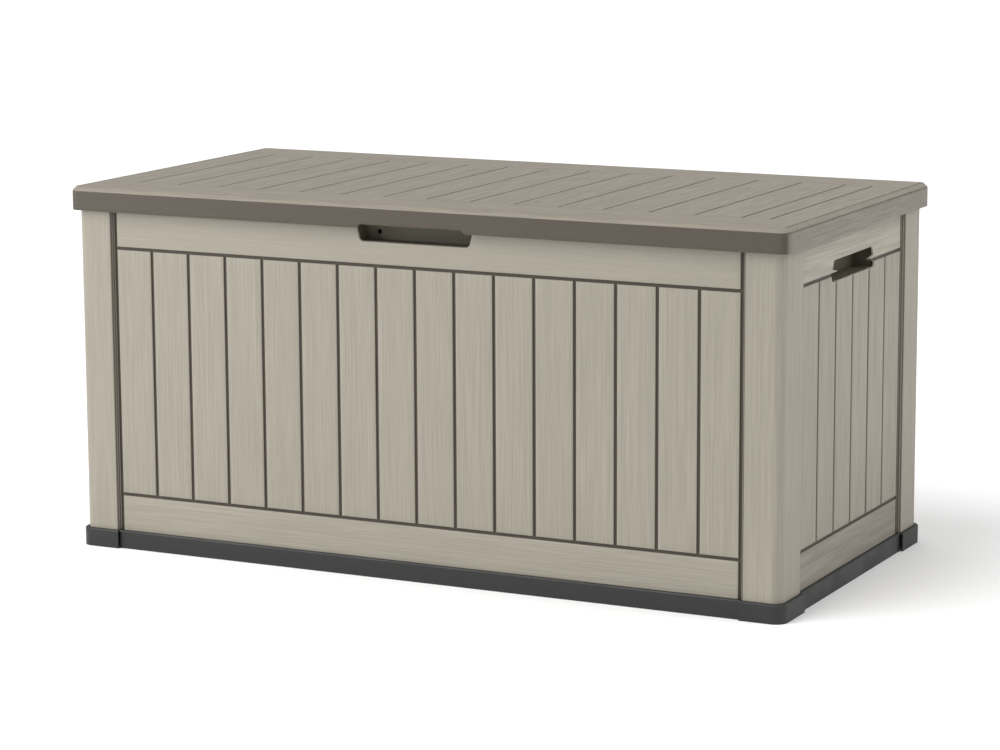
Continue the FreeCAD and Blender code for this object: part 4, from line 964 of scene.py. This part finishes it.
# ---- pieces kept from the CAD ----
class DECKBOX_OT_base(bpy.types.Operator):
    """Finish the base tray and the hand grip inserts"""
    bl_idname = "deckbox.base"
    bl_label = "Base tray and grip inserts"

    def execute(self, context):
        colours = context.scene.deck_box_colours
        dress("base_tray", plain_resin("base_resin", colours.base, 0.5), 0.6)
        # The cups' dark colour is partly their own olive and partly painted shade inside the pockets.
        cups = plain_resin("grip_resin", colours.grip, 0.6)
        for name in ("front_grip_cup", "left_grip_cup", "right_grip_cup"):
            dress(name, cups, 0.5)
        return {"FINISHED"}


class DECKBOX_OT_lid_fittings(bpy.types.Operator):
    """Finish the lid liner, the lock tab and their screws"""
    bl_idname = "deckbox.lid_fittings"
    bl_label = "Lid liner and lock tab"

    def execute(self, context):
        colours = context.scene.deck_box_colours
        dress("lid_liner", plain_resin("liner_resin", colours.lid, 0.55), 0.6)
        dress("lid_lock_tab", plain_resin("lock_tab_resin", colours.base, 0.5), 0.5)
        return {"FINISHED"}


class DECKBOX_OT_hardware(bpy.types.Operator):
    """Finish the hinge pins, gas struts, brackets and screws"""
    bl_idname = "deckbox.hardware"
    bl_label = "Hinges, struts and screws"

    def execute(self, context):
        colours = context.scene.deck_box_colours
        zinc = metal("zinc_steel", colours.steel, 0.36, 900.0)
        chrome = metal("rod_chrome", srgb(205, 207, 210), 0.14, 500.0)
        coated = painted("bracket_coat", colours.strut, 0.5)
        paint = painted("strut_paint", colours.strut, 0.3)
        black = plain_resin("black_plastic", srgb(24, 24, 24), 0.5)
        for name in ("post_screws", "base_screws", "lid_liner_screws", "lock_tab_screws", "foot_bracket_screws",
                     "lid_bracket_screws", "hinge_pin_left", "hinge_pin_middle", "hinge_pin_right"):
            dress(name, zinc, 0.15)
        dress("hinge_pin_caps", black, 0.3)
        for side in ("left", "right"):
            dress("strut_cylinder_" + side, paint, 0.6)
            dress("strut_rod_" + side, chrome, 0.3)
            dress("strut_foot_bracket_" + side, coated, 0.3)
            dress("strut_lid_bracket_" + side, coated, 0.3)
        return {"FINISHED"}


# ---- stage ----
def area_light(name, place, target, size, power):
    """A square light near the box."""
    light = bpy.data.lights.new(name, "AREA")
    light.shape, light.size, light.energy = "SQUARE", size, power
    lamp = bpy.data.objects.new(name, light)
    lamp.location = place
    lamp.rotation_euler = (Vector(target) - Vector(place)).to_track_quat("-Z", "Y").to_euler()
    bpy.context.scene.collection.objects.link(lamp)


def broad_light(name, towards, strength, spread):
    """A soft distant light that reaches the floor evenly; towards points from the box to the light."""
    light = bpy.data.lights.new(name, "SUN")
    light.energy, light.angle = strength, math.radians(spread)
    lamp = bpy.data.objects.new(name, light)
    lamp.rotation_euler = Vector(towards).to_track_quat("Z", "Y").to_euler()
    bpy.context.scene.collection.objects.link(lamp)


def floor_form():
    """A wide floor that sweeps gently upwards far away from the box."""
    radii = [600.0, 1200.0, 2500.0, 5000.0, 9000.0, 16000.0, 30000.0, 60000.0]
    heights = [0.0] * 6 + [150.0, 1500.0]
    count = 64
    rings = [np.column_stack([circle(0.0, 0.0, radius, count), np.full(count, height)])
             for radius, height in zip(radii, heights)]
    fan = [(0, 1 + i, 1 + (i + 1) % count) for i in range(count)]
    sweep = [(a + 1, d + 1, c + 1, b + 1) for a, b, c, d in ring_faces(len(rings), count)]
    form = Form()
    form.add(np.concatenate([np.zeros((1, 3))] + rings), fan + sweep)
    return form


def floor_material(base):
    material, tree, shader, place = new_material("studio_floor")
    patches = noise(tree, place, 1.5, 3.0)
    tree.links.new(blend(tree, patches, rgba(base, 0.995), rgba(base)), shader.inputs["Base Color"])
    shader.inputs["Roughness"].default_value = 0.8
    shader.inputs["Specular IOR Level"].default_value = 0.1
    return material


class DECKBOX_OT_stage(bpy.types.Operator):
    """Set the pale floor, the studio light and the camera"""
    bl_idname = "deckbox.stage"
    bl_label = "Stage"

    def execute(self, context):
        scene, colours = context.scene, context.scene.deck_box_colours
        floor = show("studio_floor", floor_form().mesh("studio_floor"))
        floor.data.materials.append(floor_material(colours.floor))
        floor.data.shade_smooth()

        world = bpy.data.worlds.new("studio")
        world.use_nodes = True
        sky = world.node_tree.nodes["Background"].inputs
        sky["Color"].default_value, sky["Strength"].default_value = (1.0, 1.0, 1.0, 1.0), 0.52
        scene.world = world
        scene.view_settings.view_transform = "Standard"

        broad_light("overhead", (0.05, -0.05, 1.0), 0.45, 80.0)
        broad_light("key", (-0.41, -0.50, 0.76), 1.9, 44.0)
        broad_light("back", (0.68, 0.38, 0.63), 0.62, 40.0)
        area_light("left fill", (-2.2, -2.1, 1.3), (-0.6, -0.3, 0.35), 1.0, 26.0)
        area_light("right fill", (1.7, 0.15, 1.15), (0.7, 0.0, 0.5), 0.7, 1.8)

        camera = bpy.data.cameras.new("camera")
        camera.lens, camera.sensor_width = 118.0, 36.0
        camera.clip_end = 200.0
        viewer = bpy.data.objects.new("camera", camera)
        scene.collection.objects.link(viewer)
        yaw, pitch, roll = (math.radians(v) for v in (26.457, 10.286, -0.273))
        ahead = Vector((-math.sin(yaw) * math.cos(pitch), math.cos(yaw) * math.cos(pitch), -math.sin(pitch)))
        level = Vector((math.cos(yaw), math.sin(yaw), 0.0))
        upward = level.cross(ahead)
        right = level * math.cos(roll) + upward * math.sin(roll)
        up = upward * math.cos(roll) - level * math.sin(roll)
        turn = Matrix((right, up, -ahead)).transposed().to_4x4()
        viewer.matrix_world = Matrix.Translation((2.6862, -5.4, 1.4153)) @ turn
        scene.camera = viewer
        return {"FINISHED"}


class DECKBOX_PT_panel(bpy.types.Panel):
    bl_label = "Deck Box"
    bl_idname = "DECKBOX_PT_panel"
    bl_space_type = "VIEW_3D"
    bl_region_type = "UI"
    bl_category = "Deck Box"

    def draw(self, context):
        layout = self.layout
        for step in STEPS:
            layout.operator(step.bl_idname)
        for settings in (context.scene.deck_box_sizes, context.scene.deck_box_colours):
            for key in settings.__annotations__:
                layout.prop(settings, key)


STEPS = (DECKBOX_OT_stage, DECKBOX_OT_panels, DECKBOX_OT_posts, DECKBOX_OT_lid, DECKBOX_OT_base,
         DECKBOX_OT_lid_fittings, DECKBOX_OT_hardware)
CLASSES = (DeckBoxSizes, DeckBoxColours) + STEPS + (DECKBOX_PT_panel,)


def register():
    for item in CLASSES:
        bpy.utils.register_class(item)
    bpy.types.Scene.deck_box_sizes = PointerProperty(type=DeckBoxSizes)
    bpy.types.Scene.deck_box_colours = PointerProperty(type=DeckBoxColours)


def unregister():
    del bpy.types.Scene.deck_box_colours
    del bpy.types.Scene.deck_box_sizes
    for item in reversed(CLASSES):
        bpy.utils.unregister_class(item)


def main():
    register()
    bpy.ops.deckbox.stage()
    bpy.ops.deckbox.panels()
    bpy.ops.deckbox.posts()
    bpy.ops.deckbox.lid()
    bpy.ops.deckbox.base()
    bpy.ops.deckbox.lid_fittings()
    bpy.ops.deckbox.hardware()


if __name__ == "__main__":
    main()
